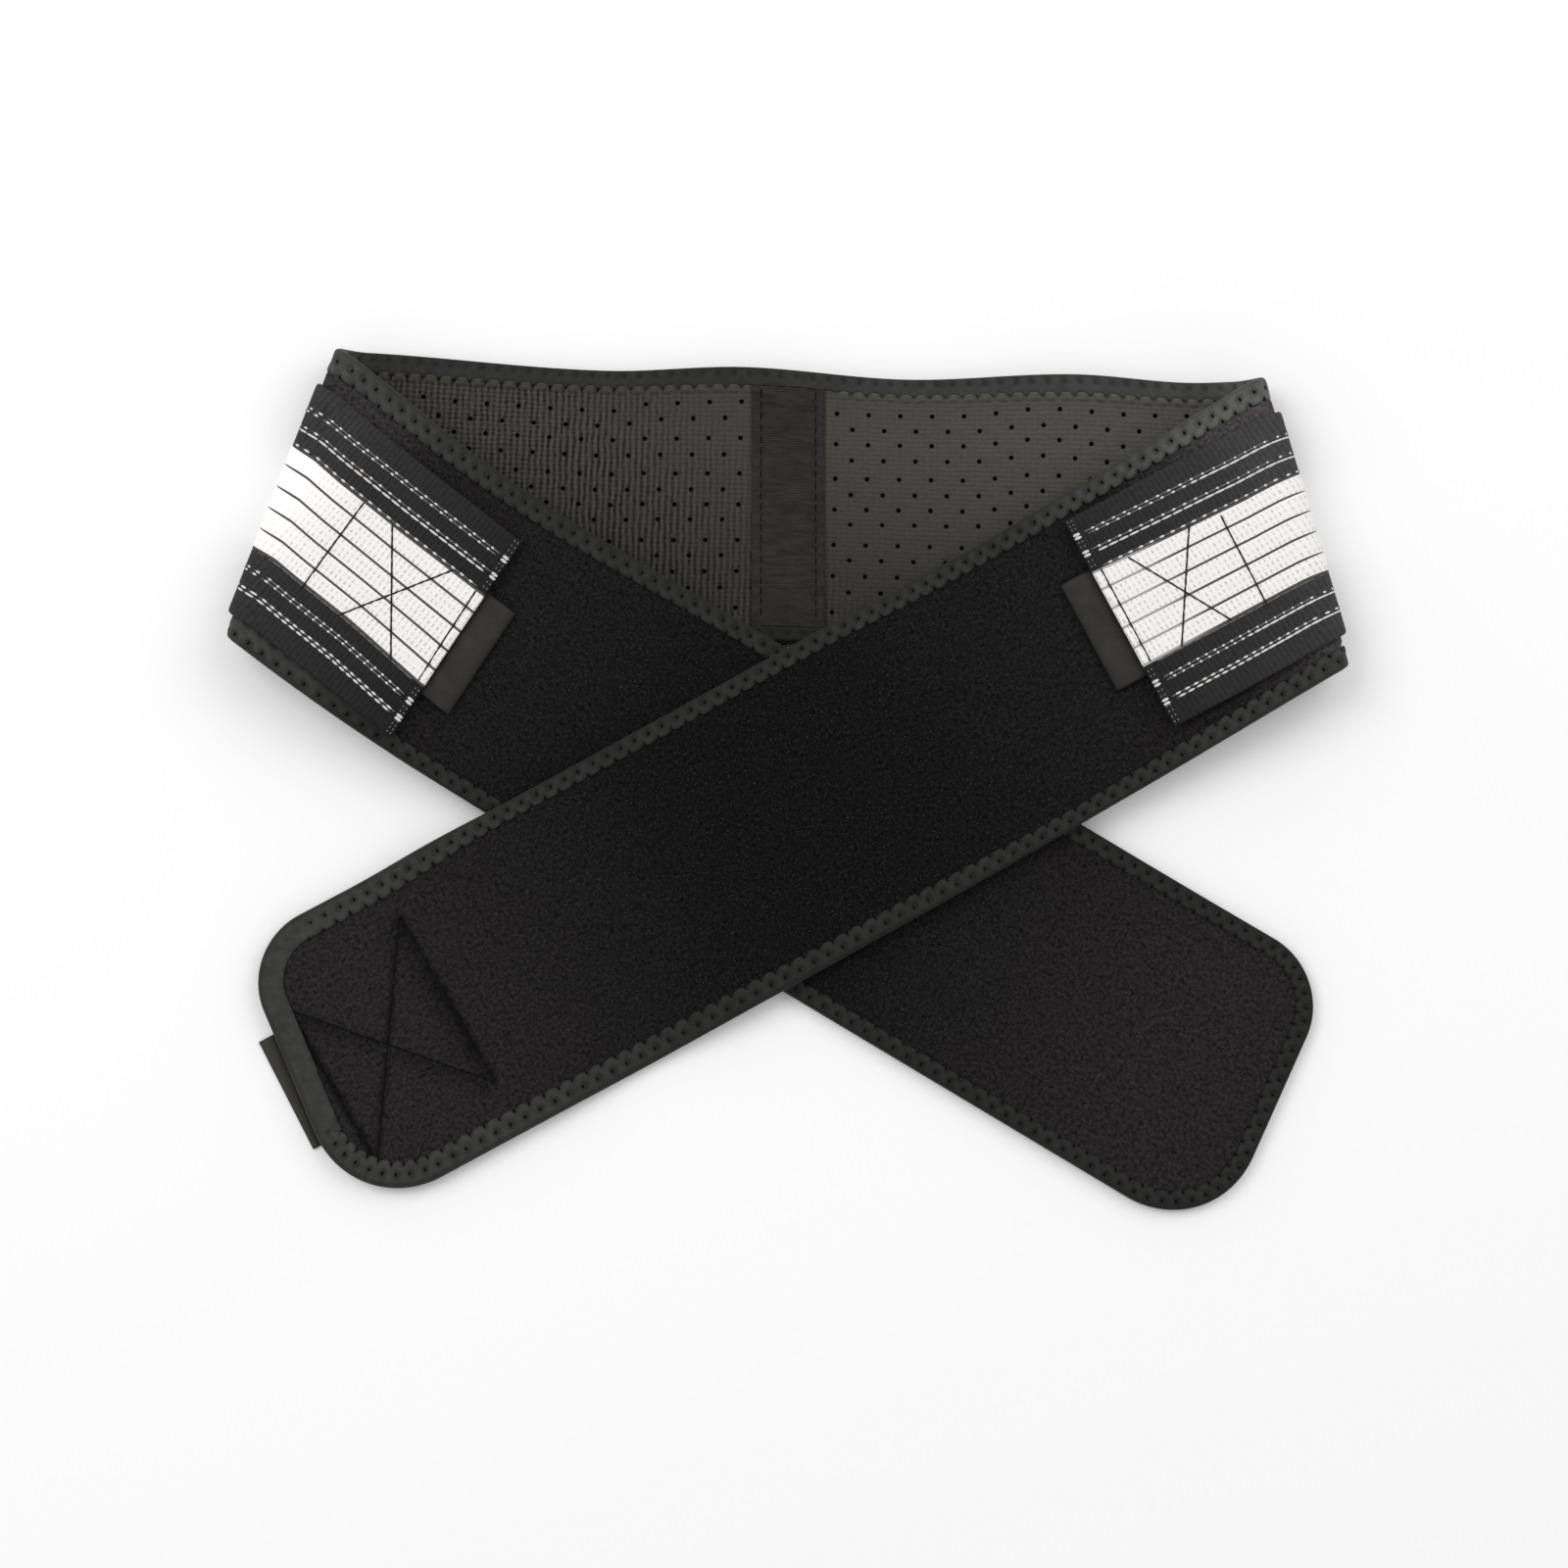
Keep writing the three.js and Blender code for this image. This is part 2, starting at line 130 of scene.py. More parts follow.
sky = bpy.data.worlds.new("studio_sky")
sky.use_nodes = True
sky.node_tree.nodes["Background"].inputs["Color"].default_value = linear(SKY_COLOUR)
sky.node_tree.nodes["Background"].inputs["Strength"].default_value = SKY_STRENGTH
bpy.context.scene.world = sky
add_lamp("lamp_left", (-0.9, 0.4, 1.3), size=1.1, power=9)
add_lamp("lamp_right", (1.0, 0.7, 1.2), size=1.3, power=7)

# Outer plush
# The belt's outer face is a black knit with a brushed loop pile, which the hook tape grips anywhere.
# It is cut as one long strip, laid on its lining, folded at the hips and crossed, the right wing on top.
BELT_WIDTH = 100
UPPER_CORNER = 23
LOWER_CORNER = 33
FOLD_RADIUS = 7.5
SETTLE_RUN = 105
BACK_EDGE_Y = -48
LANDING_Y = -135
CROSSING_RUN = 45
PATCH_START = 316
PATCH_RUN = 46
PATCH_LIFT = 1.75
BACK_WAIST = 4.2
WAIST_REACH = 0.8
BACK_HEIGHT = 4.3
OVER_BACK_HEIGHT = 9.9
TABLE_HEIGHT = 2.4
WING_STEP = 5.2
CROSSING_ROOM = 2
PATCH_LEAD = 2
# For each side: where it folds and how far the fold leans, the turn of the wing's arc in degrees with its
# start and its end, the wing's length, and the slant of its tip
LEFT = SimpleNamespace(
    name="left", side=-1, fold_at=163.6, lean=17.74, bend=-6.14, bend_from=19, bend_to=87,
    length=384.2, end_slant=-5.3,
)
RIGHT = SimpleNamespace(
    name="right", side=1, fold_at=165.4, lean=16, bend=-2.07, bend_from=32, bend_to=258,
    length=380.4, end_slant=-4.2,
)
# Waves of the back's free top edge: places along the belt, shifts of the edge, and lifts of the edge
WAVE_AT = [-240, -160, -65, -18, 38, 98, 136, 165, 220]
WAVE_SHIFT = [0, 2.4, -1.9, 0.2, -2.2, 0.8, -0.6, 0.8, 0]
WAVE_LIFT = [0, 0, 0, 2, 0, 2, 0, 0, 0]

for wing in (LEFT, RIGHT):
    wing.cos = math.cos(math.radians(wing.lean))
    wing.sin = math.sin(math.radians(wing.lean))
    wing.heading = math.pi + 2 * math.radians(wing.lean)
    wing.fold_run = math.pi * FOLD_RADIUS / wing.cos
    wing.wing_start = wing.fold_at + wing.fold_run
    wing.total = wing.wing_start + wing.length
    wing.start_x = wing.fold_at + wing.fold_run * wing.sin ** 2
    wing.start_y = -wing.fold_run * wing.sin * wing.cos


def lerp(low, high, share):
    return low + (high - low) * share


def eased(value, low, high):
    """0 below low and 1 above high, with a smooth rise between."""
    share = np.clip((value - low) / (high - low), 0, 1)
    return share * share * (3 - 2 * share)


def eased_table(at, places, values):
    """A value between the places of a table, eased from each place to the next."""
    i = np.clip(np.searchsorted(places, at), 1, len(places) - 1)
    low, high = np.array(places)[i - 1], np.array(places)[i]
    return lerp(np.array(values)[i - 1], np.array(values)[i], eased(at, low, high))


def wing_plan(wing, along, across, bend):
    """Plan of a wing past its fold, with X outwards: straight, a slight arc, and straight again."""
    arc_full = wing.bend_to - wing.bend_from
    arc_length = np.clip(along - wing.bend_from, 0, arc_full)
    arc_turn = math.radians(bend) * arc_length / arc_full
    heading = wing.heading + arc_turn
    before = np.minimum(along, wing.bend_from)
    after = np.maximum(along - wing.bend_to, 0)
    chord = arc_length * np.sinc(arc_turn / 2 / np.pi)
    chord_heading = wing.heading + arc_turn / 2
    x = wing.start_x + before * math.cos(wing.heading) + chord * np.cos(chord_heading)
    y = wing.start_y + before * math.sin(wing.heading) + chord * np.sin(chord_heading)
    x = x + after * np.cos(heading) + across * np.sin(heading)
    y = y + after * np.sin(heading) - across * np.cos(heading)
    return x, y


left_line = [
    np.array(wing_plan(LEFT, along, 0, LEFT.bend)) * (LEFT.side, 1) for along in (LEFT.bend_to, LEFT.length)
]
left_direction = (left_line[1] - left_line[0]) / np.linalg.norm(left_line[1] - left_line[0])


def wing_height(wing, x, y, along):
    """Height of a wing, which settles from its fold on the back panel and past that on the table.
    The right wing also climbs over the left one, and its tip lies on its hook patch."""
    rest = lerp(TABLE_HEIGHT, OVER_BACK_HEIGHT, eased(y, LANDING_Y, BACK_EDGE_Y))
    if wing is RIGHT:
        over_left = wing_height(LEFT, x, y, 0) + WING_STEP
        line_x, line_y = left_line[0]
        from_left = np.abs((x - line_x) * left_direction[1] - (y - line_y) * left_direction[0])
        clear = BELT_WIDTH / 2 + CROSSING_ROOM
        rest = lerp(over_left, rest, eased(from_left, clear, clear + CROSSING_RUN))
        rest = rest + PATCH_LIFT * eased(along, PATCH_START - PATCH_RUN, PATCH_START - PATCH_LEAD)
    from_fold = (wing.fold_at - wing.side * x) * wing.cos - y * wing.sin
    return lerp(BACK_HEIGHT + 2 * FOLD_RADIUS, rest, eased(from_fold, 0, SETTLE_RUN))


def folded_point(wing, u, t, bend):
    """Middle of the cloth, a distance u from the middle of the back and t across the belt."""
    past_fold = (u - wing.fold_at) * wing.cos + t * wing.sin
    along_fold = (wing.fold_at - u) * wing.sin + t * wing.cos
    turn = np.clip(past_fold / FOLD_RADIUS, 0, np.pi)
    out = np.where(past_fold < 0, past_fold, FOLD_RADIUS * np.sin(turn))
    wing_x, wing_y = wing_plan(wing, u - wing.wing_start, t, bend)
    on_wing = turn >= np.pi
    x = np.where(on_wing, wing_x, wing.fold_at - along_fold * wing.sin + out * wing.cos)
    y = np.where(on_wing, wing_y, along_fold * wing.cos + out * wing.sin)
    round_fold = BACK_HEIGHT + FOLD_RADIUS * (1 - np.cos(turn))
    z = np.where(on_wing, wing_height(wing, wing.side * x, y, u - wing.wing_start), round_fold)
    return np.stack([wing.side * x, y, z], axis=-1)


def strap_surface(s, t):
    """Middle surface for a strap, which is straight; s runs along the belt and t across it."""
    left, right = (folded_point(wing, np.abs(s), t, 0) for wing in (LEFT, RIGHT))
    return np.where((s < 0)[..., None], left, right)


def belt_surface(s, t):
    """Middle surface of the folded belt, with its bent wings, drawn-in lower edge and wavy top edge."""
    left, right = (folded_point(wing, np.abs(s), t, wing.bend) for wing in (LEFT, RIGHT))
    point = np.where((s < 0)[..., None], left, right)
    reach = np.where(s < 0, LEFT.fold_at, RIGHT.fold_at) * WAIST_REACH
    point[..., 1] += BACK_WAIST * (1 - eased(np.abs(s), 0, reach)) * np.maximum(-t, 0) / (BELT_WIDTH / 2)
    upper = (np.maximum(t, 0) / (BELT_WIDTH / 2)) ** 2
    point[..., 1] += eased_table(s, WAVE_AT, WAVE_SHIFT) * upper
    point[..., 2] += eased_table(s, WAVE_AT, WAVE_LIFT) * upper
    return point


def face_direction(surface, s, t):
    """Direction square to a surface, towards the lining."""
    reach = 0.5
    along = surface(s + reach, t) - surface(s - reach, t)
    across = surface(s, t + reach) - surface(s, t - reach)
    normal = np.cross(along, across)
    return normal / np.linalg.norm(normal, axis=-1, keepdims=True)


def off_surface(surface, s, t, layer):
    """Points off the middle surface by a layer distance, which is positive towards the lining."""
    s, t, layer = np.broadcast_arrays(np.asarray(s, float), np.asarray(t, float), np.asarray(layer, float))
    return surface(s, t) + face_direction(surface, s, t) * layer[..., None]


# The casing's lower corner tells where the middle of the back stands in the frame.
CASING_HALF_WIDTH = 12.6
CASING_HALF_LENGTH = 43.3
CASING_CENTRE = -1.1
CASING_LEAN = -0.026
CASING_BASE = 1.85
corner_side = np.array([-1, -1, 1, 1]) * CASING_HALF_WIDTH
corner_t = np.array([-1, 1, -1, 1]) * CASING_HALF_LENGTH
corner_s = CASING_CENTRE + corner_side + corner_t * CASING_LEAN
casing_corners = off_surface(belt_surface, corner_s, corner_t, CASING_BASE)
BACK_MIDDLE = np.array(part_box("centre_channel")[0]) - casing_corners.min(axis=0) * MM
BACK_MIDDLE[2] = 0


def row_slope(wing, along, end_slant, end):
    """How far a row across the belt leans: square in the back, along the fold there, slanted at the end."""
    square_reach = 20
    at_fold = -wing.sin / wing.cos
    on_back = at_fold * eased(along, square_reach, wing.fold_at - square_reach)
    on_wing = lerp(at_fold, math.tan(math.radians(end_slant)), eased(along, wing.wing_start, end))
    return np.where(along < wing.wing_start, on_back, on_wing)


def side_rows(wing, spacing, back_spacing):
    """Rows of one side from the middle of the back to the tip: the side, places on the lower and on the upper
    edge, and turns round the tip's corners."""
    count = math.ceil(wing.wing_start / back_spacing)
    back = np.linspace(0, wing.wing_start, count, endpoint=False)
    share = np.linspace(0, 1, math.ceil(wing.length / spacing), endpoint=False)
    turn = np.linspace(0, math.pi / 2, math.ceil(LOWER_CORNER * math.pi / 2 / spacing))
    lower_end, upper_end = wing.total - LOWER_CORNER, wing.total - UPPER_CORNER
    lower = np.concatenate([back, lerp(wing.wing_start, lower_end, share), np.full(len(turn), lower_end)])
    upper = np.concatenate([back, lerp(wing.wing_start, upper_end, share), np.full(len(turn), upper_end)])
    corner = np.concatenate([np.zeros(len(lower) - len(turn)), turn])
    return np.stack([np.full(len(lower), wing.side), lower, upper, corner])


def belt_rows(spacing, back_spacing):
    """Rows of the whole belt, from the left tip to the right tip, which may be wider apart on the back."""
    left, right = (side_rows(wing, spacing, back_spacing) for wing in (LEFT, RIGHT))
    return np.concatenate([left[:, ::-1], right[:, 1:]], axis=1)


def row_places(rows, share, inset):
    """Places on rows, from 0 at the lower edge to 1 at the upper edge, both set in from the cut edge."""
    side, lower, upper, corner = rows
    ends = []
    for edge, along, radius in ((-1, lower, LOWER_CORNER), (1, upper, UPPER_CORNER)):
        run = along + (radius - inset) * np.sin(corner)
        t = edge * (BELT_WIDTH / 2 - radius + (radius - inset) * np.cos(corner))
        slopes = [row_slope(wing, run, wing.end_slant, wing.total) for wing in (LEFT, RIGHT)]
        ends.append((side * (run + t * np.where(side < 0, *slopes)), t))
    return lerp(ends[0][0], ends[1][0], share), lerp(ends[0][1], ends[1][1], share)


def grid_quads(rows, columns):
    number = np.arange(rows * columns).reshape(rows, columns)
    corners = number[:-1, :-1], number[1:, :-1], number[1:, 1:], number[:-1, 1:]
    return np.stack(corners, axis=-1).reshape(-1, 4)


def sheet_solid(surface, s, t, high, low):
    """A closed sheet of cloth on a grid of belt places, between its high and low layers: points, places and
    four-sided faces, first those of the high layer, then of the low one, then of the rim."""
    rows, columns = s.shape
    count = rows * columns
    layers = [np.broadcast_to(layer, s.shape) for layer in (high, low)]
    points = np.concatenate([off_surface(surface, s, t, layer).reshape(-1, 3) for layer in layers])
    places = np.concatenate([np.stack([s, t, layer], axis=-1).reshape(-1, 3) for layer in layers])
    top = grid_quads(rows, columns)
    number = np.arange(count).reshape(rows, columns)
    loop = np.concatenate([number[:-1, 0], number[-1, :-1], number[:0:-1, -1], number[0, :0:-1]])
    after = np.roll(loop, -1)
    rim = np.stack([loop + count, after + count, after, loop], axis=-1)
    return points, places, np.concatenate([top, top[:, ::-1] + count, rim])


def make_piece(name, solid, materials, face_materials=None):
    """An object in the frame, from a solid in millimetres on the belt; its materials read its belt places."""
    points, places, faces = solid
    mesh = bpy.data.meshes.new(name)
    mesh.from_pydata((points * MM + BACK_MIDDLE).tolist(), [], faces.tolist())
    belt_place = mesh.attributes.new("belt_place", "FLOAT_VECTOR", "POINT")
    belt_place.data.foreach_set("vector", np.ascontiguousarray(places, np.float32).ravel())
    for material in materials:
        mesh.materials.append(material)
    if face_materials is not None:
        mesh.polygons.foreach_set("material_index", np.ascontiguousarray(face_materials, np.int32))
    mesh.polygons.foreach_set("use_smooth", np.ones(len(mesh.polygons), bool))
    mesh.set_sharp_from_angle(angle=SHARP_ANGLE)
    piece = bpy.data.objects.new(name, mesh)
    bpy.context.scene.collection.objects.link(piece)
    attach(piece, "root")
    return piece


def cloth_swell(s, t, wavelength, height):
    """Slow uneven swelling of cloth over its belt places."""
    spots = np.stack([s, t, np.zeros_like(s)], axis=-1).reshape(-1, 3) / wavelength
    return height * np.array([noise.noise(spot) for spot in spots.tolist()]).reshape(s.shape)


def beside_line(x, y, start, end, inner):
    """Share along a line, and distance from it, which is positive on the side of an inner point."""
    run = np.subtract(end, start)
    length = math.hypot(*run)
    share = ((x - start[0]) * run[0] + (y - start[1]) * run[1]) / length ** 2
    distance = ((x - start[0]) * run[1] - (y - start[1]) * run[0]) / length
    inner_side = (inner[0] - start[0]) * run[1] - (inner[1] - start[1]) * run[0]
    return share, distance * np.sign(inner_side)


SHARP_ANGLE = math.radians(55)
PLUSH_INNER = -0.15
PLUSH_OUTER = -1.45
PLUSH_INSET = 1.3
PLUSH_SPACING = 1.5
PLUSH_BACK_SPACING = 4
PLUSH_COLUMNS = 68
SWELL_LENGTH = 14
SWELL_HEIGHT = 0.12
FOLD_BULGE = 0.85
# The hook patch is sewn on through the right wing's tip, with a box and a cross that sink into the pile.
# The pile inside the box's inner side and below one arm of the cross lies lower than its neighbour.
CLOSURE = {"a": (323.9, 33.9), "b": (321.1, -31.3), "c": (367.8, -35.5), "d": (371.4, 23.7)}
CLOSURE_PLEATS = (("a", "b", "d", 0.9, 6), ("d", "b", "c", 0.75, 5))
CLOSURE_CREASES = (
    ("a", "c", 0.7, 1.7), ("d", "c", 0.85, 1.8), ("a", "b", 0.85, 1.5), ("d", "b", 0.35, 1.6),
)
# How pleats and creases fade before and after their ends, as shares of their length, the step at the edge
# of a pleat, and where the bulge of a fold dies out under the tape
PLEAT_FADE = (0.06, 0.08)
CREASE_FADE = (0.04, 0.04)
PLEAT_STEP = (-1.2, 1.0)
BULGE_FADE = (41, 43.5)


def within(share, fade):
    """1 along a line and 0 past its ends, with a fade that starts before each end and stops after it."""
    before, after = fade
    return eased(share, -before, after) * (1 - eased(share, 1 - after, 1 + before))


def plush_layer(s, t):
    """Layer of the pile's surface, sunk at the closing patch's seams and bulging round the folds."""
    q = s - RIGHT.wing_start
    sunk = np.zeros_like(q)
    for start, end, inner, depth, fade in CLOSURE_PLEATS:
        share, distance = beside_line(q, t, CLOSURE[start], CLOSURE[end], CLOSURE[inner])
        pleat = eased(distance, *PLEAT_STEP) * np.exp(-np.maximum(distance, 0) / fade)
        sunk = np.maximum(sunk, depth * within(share, PLEAT_FADE) * pleat)
    for start, end, depth, width in CLOSURE_CREASES:
        share, distance = beside_line(q, t, CLOSURE[start], CLOSURE[end], (0, 0))
        sunk = np.maximum(sunk, depth * within(share, CREASE_FADE) * np.exp(-(distance / width) ** 2))
    turns = [((np.abs(s) - wing.fold_at) * wing.cos + t * wing.sin) / FOLD_RADIUS for wing in (LEFT, RIGHT)]
    round_fold = np.sin(np.clip(np.where(s < 0, *turns), 0, np.pi))
    bulge = FOLD_BULGE * round_fold * (1 - eased(np.abs(t), *BULGE_FADE))
    return PLUSH_OUTER + sunk - bulge - cloth_swell(s, t, SWELL_LENGTH, SWELL_HEIGHT)


plush_rows = belt_rows(PLUSH_SPACING, PLUSH_BACK_SPACING)[..., None]
plush_s, plush_t = row_places(plush_rows, np.linspace(0, 1, PLUSH_COLUMNS), PLUSH_INSET)
plush_solid = sheet_solid(belt_surface, plush_s, plush_t, PLUSH_INNER, plush_layer(plush_s, plush_t))

# Brushed loop pile, polyester: almost black and matt, with loose fibre ends that show as lighter specks.
# Its light and shade are painted: darkest on the middle of the wings and paler towards the tips, with a
# painted highlight round the folds and painted shade along the closing patch's seams.
PILE_TUFT = 1.3
FIBRE_SPECK = 0.7


def shade_along(tree, socket, places, shades):
    """A shade that follows a belt place, eased from each place of a table to the next."""
    ramp = add_node(tree, "ShaderNodeValToRGB", {"Fac": ranged(tree, socket, places[0], places[-1])})
    ramp.color_ramp.interpolation = "EASE"
    stops = ramp.color_ramp.elements
    while len(stops) < len(places):
        stops.new(0.5)
    for stop, place, shade in zip(stops, places, shades):
        stop.position = (place - places[0]) / (places[-1] - places[0])
        stop.color = (shade, shade, shade, 1)
    return ramp.outputs["Color"]



def carried_place(tree):
    """The belt place that a mesh carries, in millimetres, and its parts along, across and through it."""
    place = add_node(tree, "ShaderNodeAttribute", attribute_name="belt_place").outputs["Vector"]
    parts = add_node(tree, "ShaderNodeSeparateXYZ", {"Vector": place}).outputs
    return place, parts["X"], parts["Y"], parts["Z"]


def noise_field(tree, place, scale, detail, roughness=0.5):
    """An uneven cloudy pattern; its scale is in cells to a millimetre."""
    inputs = {"Vector": place, "Scale": scale, "Detail": detail, "Roughness": roughness}
    return add_node(tree, "ShaderNodeTexNoise", inputs).outputs["Fac"]


def mixed(tree, share, first, second):
    """A colour or height between two others, by the share of the second."""
    inputs = {"Fac": share, "Color1": first, "Color2": second}
    return add_node(tree, "ShaderNodeMixRGB", inputs).outputs["Color"]


def ranged(tree, value, low, high, at_low=0.0, at_high=1.0):
    """A value that goes from at_low to at_high while its source goes from low to high."""
    inputs = {"Value": value, "From Min": low, "From Max": high, "To Min": at_low, "To Max": at_high}
    return add_node(tree, "ShaderNodeMapRange", inputs).outputs["Result"]


def shaded(tree, colour, *shades):
    """A colour or a value times all its shades."""
    for shade in shades:
        product = add_node(tree, "ShaderNodeVectorMath", {0: colour, 1: shade}, operation="MULTIPLY")
        colour = product.outputs["Vector"]
    return colour


def dress(material, colour, height=None, strength=0.0, depth=0.0, inward=False):
    """Gives a material its colour pattern and, from a height pattern, a fine relief in millimetres."""
    tree = material.node_tree
    shader = tree.nodes["Principled BSDF"]
    tree.links.new(colour, shader.inputs["Base Color"])
    if height is not None:
        inputs = {"Height": height, "Strength": strength, "Distance": depth * MM}
        bump = add_node(tree, "ShaderNodeBump", inputs, invert=inward)
        tree.links.new(bump.outputs["Normal"], shader.inputs["Normal"])


pile = new_material(
    "brushed_loop_pile", Roughness=1.0, Specular_IOR_Level=0.03, Sheen_Weight=0.02, Sheen_Roughness=0.6,
)
tree = pile.node_tree
place, place_x, _, place_z = carried_place(tree)
tufts = noise_field(tree, place, 1 / PILE_TUFT, 3, 0.6)
specks = noise_field(tree, place, 1 / FIBRE_SPECK, 1)
raised = ranged(tree, tufts, 0.3, 0.73)
light_fibre = ranged(tree, specks, 0.6, 0.85)
# A shaded and a lit copy of the pile, mixed along the belt: painted light, lit towards the tips
shaded_pile = mixed(tree, raised, linear("#040404"), linear("#181717"))
lit_pile = mixed(tree, raised, linear("#131212"), linear("#353233"))
from_middle = add_node(tree, "ShaderNodeMath", {0: place_x}, operation="ABSOLUTE").outputs["Value"]
pile_light_share = shade_along(
    tree, from_middle, (150, 185, 215, 370, 395, 545), (1.0, 1.0, 0.45, 0.02, 0.02, 0.75),
)
# Painted highlight round the folds, strongest at the right one
fold_highlight = shade_along(
    tree, place_x, (-230, -190, -150, 150, 195, 240), (1.0, 1.5, 1.5, 3.0, 2.8, 1.0),
)
lit_and_shaded_pile = mixed(tree, pile_light_share, shaded_pile, lit_pile)
fibre_colour = mixed(tree, light_fibre, lit_and_shaded_pile, linear("#3a3838"))
# Painted shade in the seams' creases, where the pile lies sunk
crease_shadow = ranged(tree, place_z, -1.3, -0.55, 1.0, 0.3)
dress(pile, shaded(tree, fibre_colour, crease_shadow, fold_highlight), tufts, strength=0.5, depth=0.4)

plush = make_piece("plush_face", plush_solid, [pile])
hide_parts("outer_plush")

# Perforated lining
# The inner face is a thin knit on foam, dark grey, punched with staggered rows of breathing holes.
# It is cut to the same strip as the plush; along the binding it puffs up between the stitches.
LINING_INNER = 0.15
LINING_OUTER = 1.55
LINING_INSET = 1.3
FIELD_INSET = 9.6
FIELD_EDGE = BELT_WIDTH / 2 - FIELD_INSET
HOLE_PITCH = 11.0
HOLE_COLUMN = 14.8
HOLE_ROWS = (37.7, 32.0, 24.9, 19.1, 12.4, 6.7, 1.4, -4.2, -12.1, -17.9, -24.0, -30.2, -37.9)
HOLE_RINGS = ((1.05, 0.0), (0.82, -0.2), (0.74, -1.15))
AROUND_HOLE = ((-1, -1), (0, -1), (1, -1), (1, 0), (1, 1), (0, 1), (-1, 1), (-1, 0))
STEPS_PER_HOLE = 4
TIP_ROWS = 10
# How the knit drifts across the belt: places along it, drift of the whole knit, and more near the top edge
DRIFT_AT = [-150, -112, -62, -50, -14, 10, 58, 86, 112, 150]
DRIFT = [0, -0.6, -1.5, -0.7, 0, -0.9, -0.4, 2.4, 0.6, 0]
TOP_DRIFT = [0, -2.2, -1.9, 0, 0, -1.6, -1.8, -2.2, -1.5, 0]
TOP_DRIFT_RUN = (25, 31)
STEADY_EDGE = 2
SLANT_RUN = 120

grid_step = HOLE_PITCH / STEPS_PER_HOLE
hole_lines = HOLE_ROWS[::-1]
mid_lines = [(low + high) / 2 for low, high in zip(hole_lines, hole_lines[1:])]
lining_lines = np.array(sorted([-FIELD_EDGE, FIELD_EDGE, *hole_lines, *mid_lines]))


def lining_side(wing):
    """Belt places of one side, row by row: regular along the straight edges, then round the tip's corners."""
    first = HOLE_COLUMN % grid_step if wing.side > 0 else grid_step - HOLE_COLUMN % grid_step
    corner_start = wing.total - LOWER_CORNER
    regular = np.arange(first, corner_start - grid_step / 4, grid_step)
    turn = np.linspace(0, math.pi / 2, TIP_ROWS)
    run = np.concatenate([regular, corner_start + (LOWER_CORNER - FIELD_INSET) * np.sin(turn)])[:, None]
    halves = []
    for radius in (LOWER_CORNER, UPPER_CORNER):
        past = np.clip(run - (wing.total - radius), 0, radius - FIELD_INSET)
        halves.append(BELT_WIDTH / 2 - radius + np.sqrt((radius - FIELD_INSET) ** 2 - past ** 2))
    t = lining_lines / FIELD_EDGE * np.where(lining_lines < 0, *halves)
    drift = eased_table(wing.side * run, DRIFT_AT, DRIFT)
    drift = drift + eased_table(wing.side * run, DRIFT_AT, TOP_DRIFT) * eased(t, *TOP_DRIFT_RUN)
    t = t + drift * (1 - eased(np.abs(t), FIELD_EDGE - STEADY_EDGE, FIELD_EDGE))
    slope = row_slope(wing, run, wing.end_slant, wing.total)
    slope = slope * eased(run, wing.total - SLANT_RUN, corner_start)
    return wing.side * (run + t * slope), t


def punch_holes(solid, s, t, left_rows, right_rows):
    """Punches a round hole with a lip at every hole of the lining's grid, and drops the points left over."""
    points, places, faces = solid
    rows, columns = s.shape
    number = np.arange(rows * columns).reshape(rows, columns)
    step = np.arange(rows) - left_rows
    regular = (step > TIP_ROWS - left_rows) & (step < right_rows - TIP_ROWS - 1)
    columns_at = lining_lines.tolist()
    half_pitch = STEPS_PER_HOLE // 2
    hole_steps = {columns_at.index(line): 1 + half_pitch * (k % 2) for k, line in enumerate(HOLE_ROWS)}
    punched = [step % STEPS_PER_HOLE == hole_steps.get(j, -1) for j in range(columns)]
    hole_i, hole_j = np.nonzero(regular[:, None] & np.stack(punched, axis=1))
    kept = np.ones((rows - 1, columns - 1), bool)
    for di in (-1, 0):
        for dj in (-1, 0):
            kept[hole_i + di, hole_j + dj] = False
    faces = np.concatenate([faces[:kept.size][kept.ravel()], faces[kept.size:]])
    around = np.array(AROUND_HOLE)
    angle = np.arctan2(around[:, 1], around[:, 0])
    loops = [number[hole_i[:, None] + around[:, 0], hole_j[:, None] + around[:, 1]]]
    for radius, depth in HOLE_RINGS:
        ring_s = s[hole_i, hole_j][:, None] + radius * np.cos(angle)
        ring_t = t[hole_i, hole_j][:, None] + radius * np.sin(angle)
        layer = np.full_like(ring_s, LINING_OUTER + depth)
        loops.append(len(points) + np.arange(ring_s.size).reshape(ring_s.shape))
        points = np.concatenate([points, off_surface(belt_surface, ring_s, ring_t, layer).reshape(-1, 3)])
        places = np.concatenate([places, np.stack([ring_s, ring_t, layer], axis=-1).reshape(-1, 3)])
    walls = [
        np.stack([outer, np.roll(outer, -1, 1), np.roll(inner, -1, 1), inner], axis=-1).reshape(-1, 4)
        for outer, inner in zip(loops, loops[1:])
    ]
    floors = [loops[-1][:, corners] for corners in ([0, 1, 2, 3], [0, 3, 4, 7], [4, 5, 6, 7])]
    faces = np.concatenate([faces, *walls, *floors])
    used, faces = np.unique(faces, return_inverse=True)
    return points[used], places[used], faces.reshape(-1, 4)


left_s, left_t = lining_side(LEFT)
right_s, right_t = lining_side(RIGHT)
lining_s = np.concatenate([left_s[::-1], right_s])
lining_t = np.concatenate([left_t[::-1], right_t])
lining_solid = sheet_solid(belt_surface, lining_s, lining_t, LINING_OUTER, LINING_INNER)
lining_solid = punch_holes(lining_solid, lining_s, lining_t, len(left_s), len(right_s))

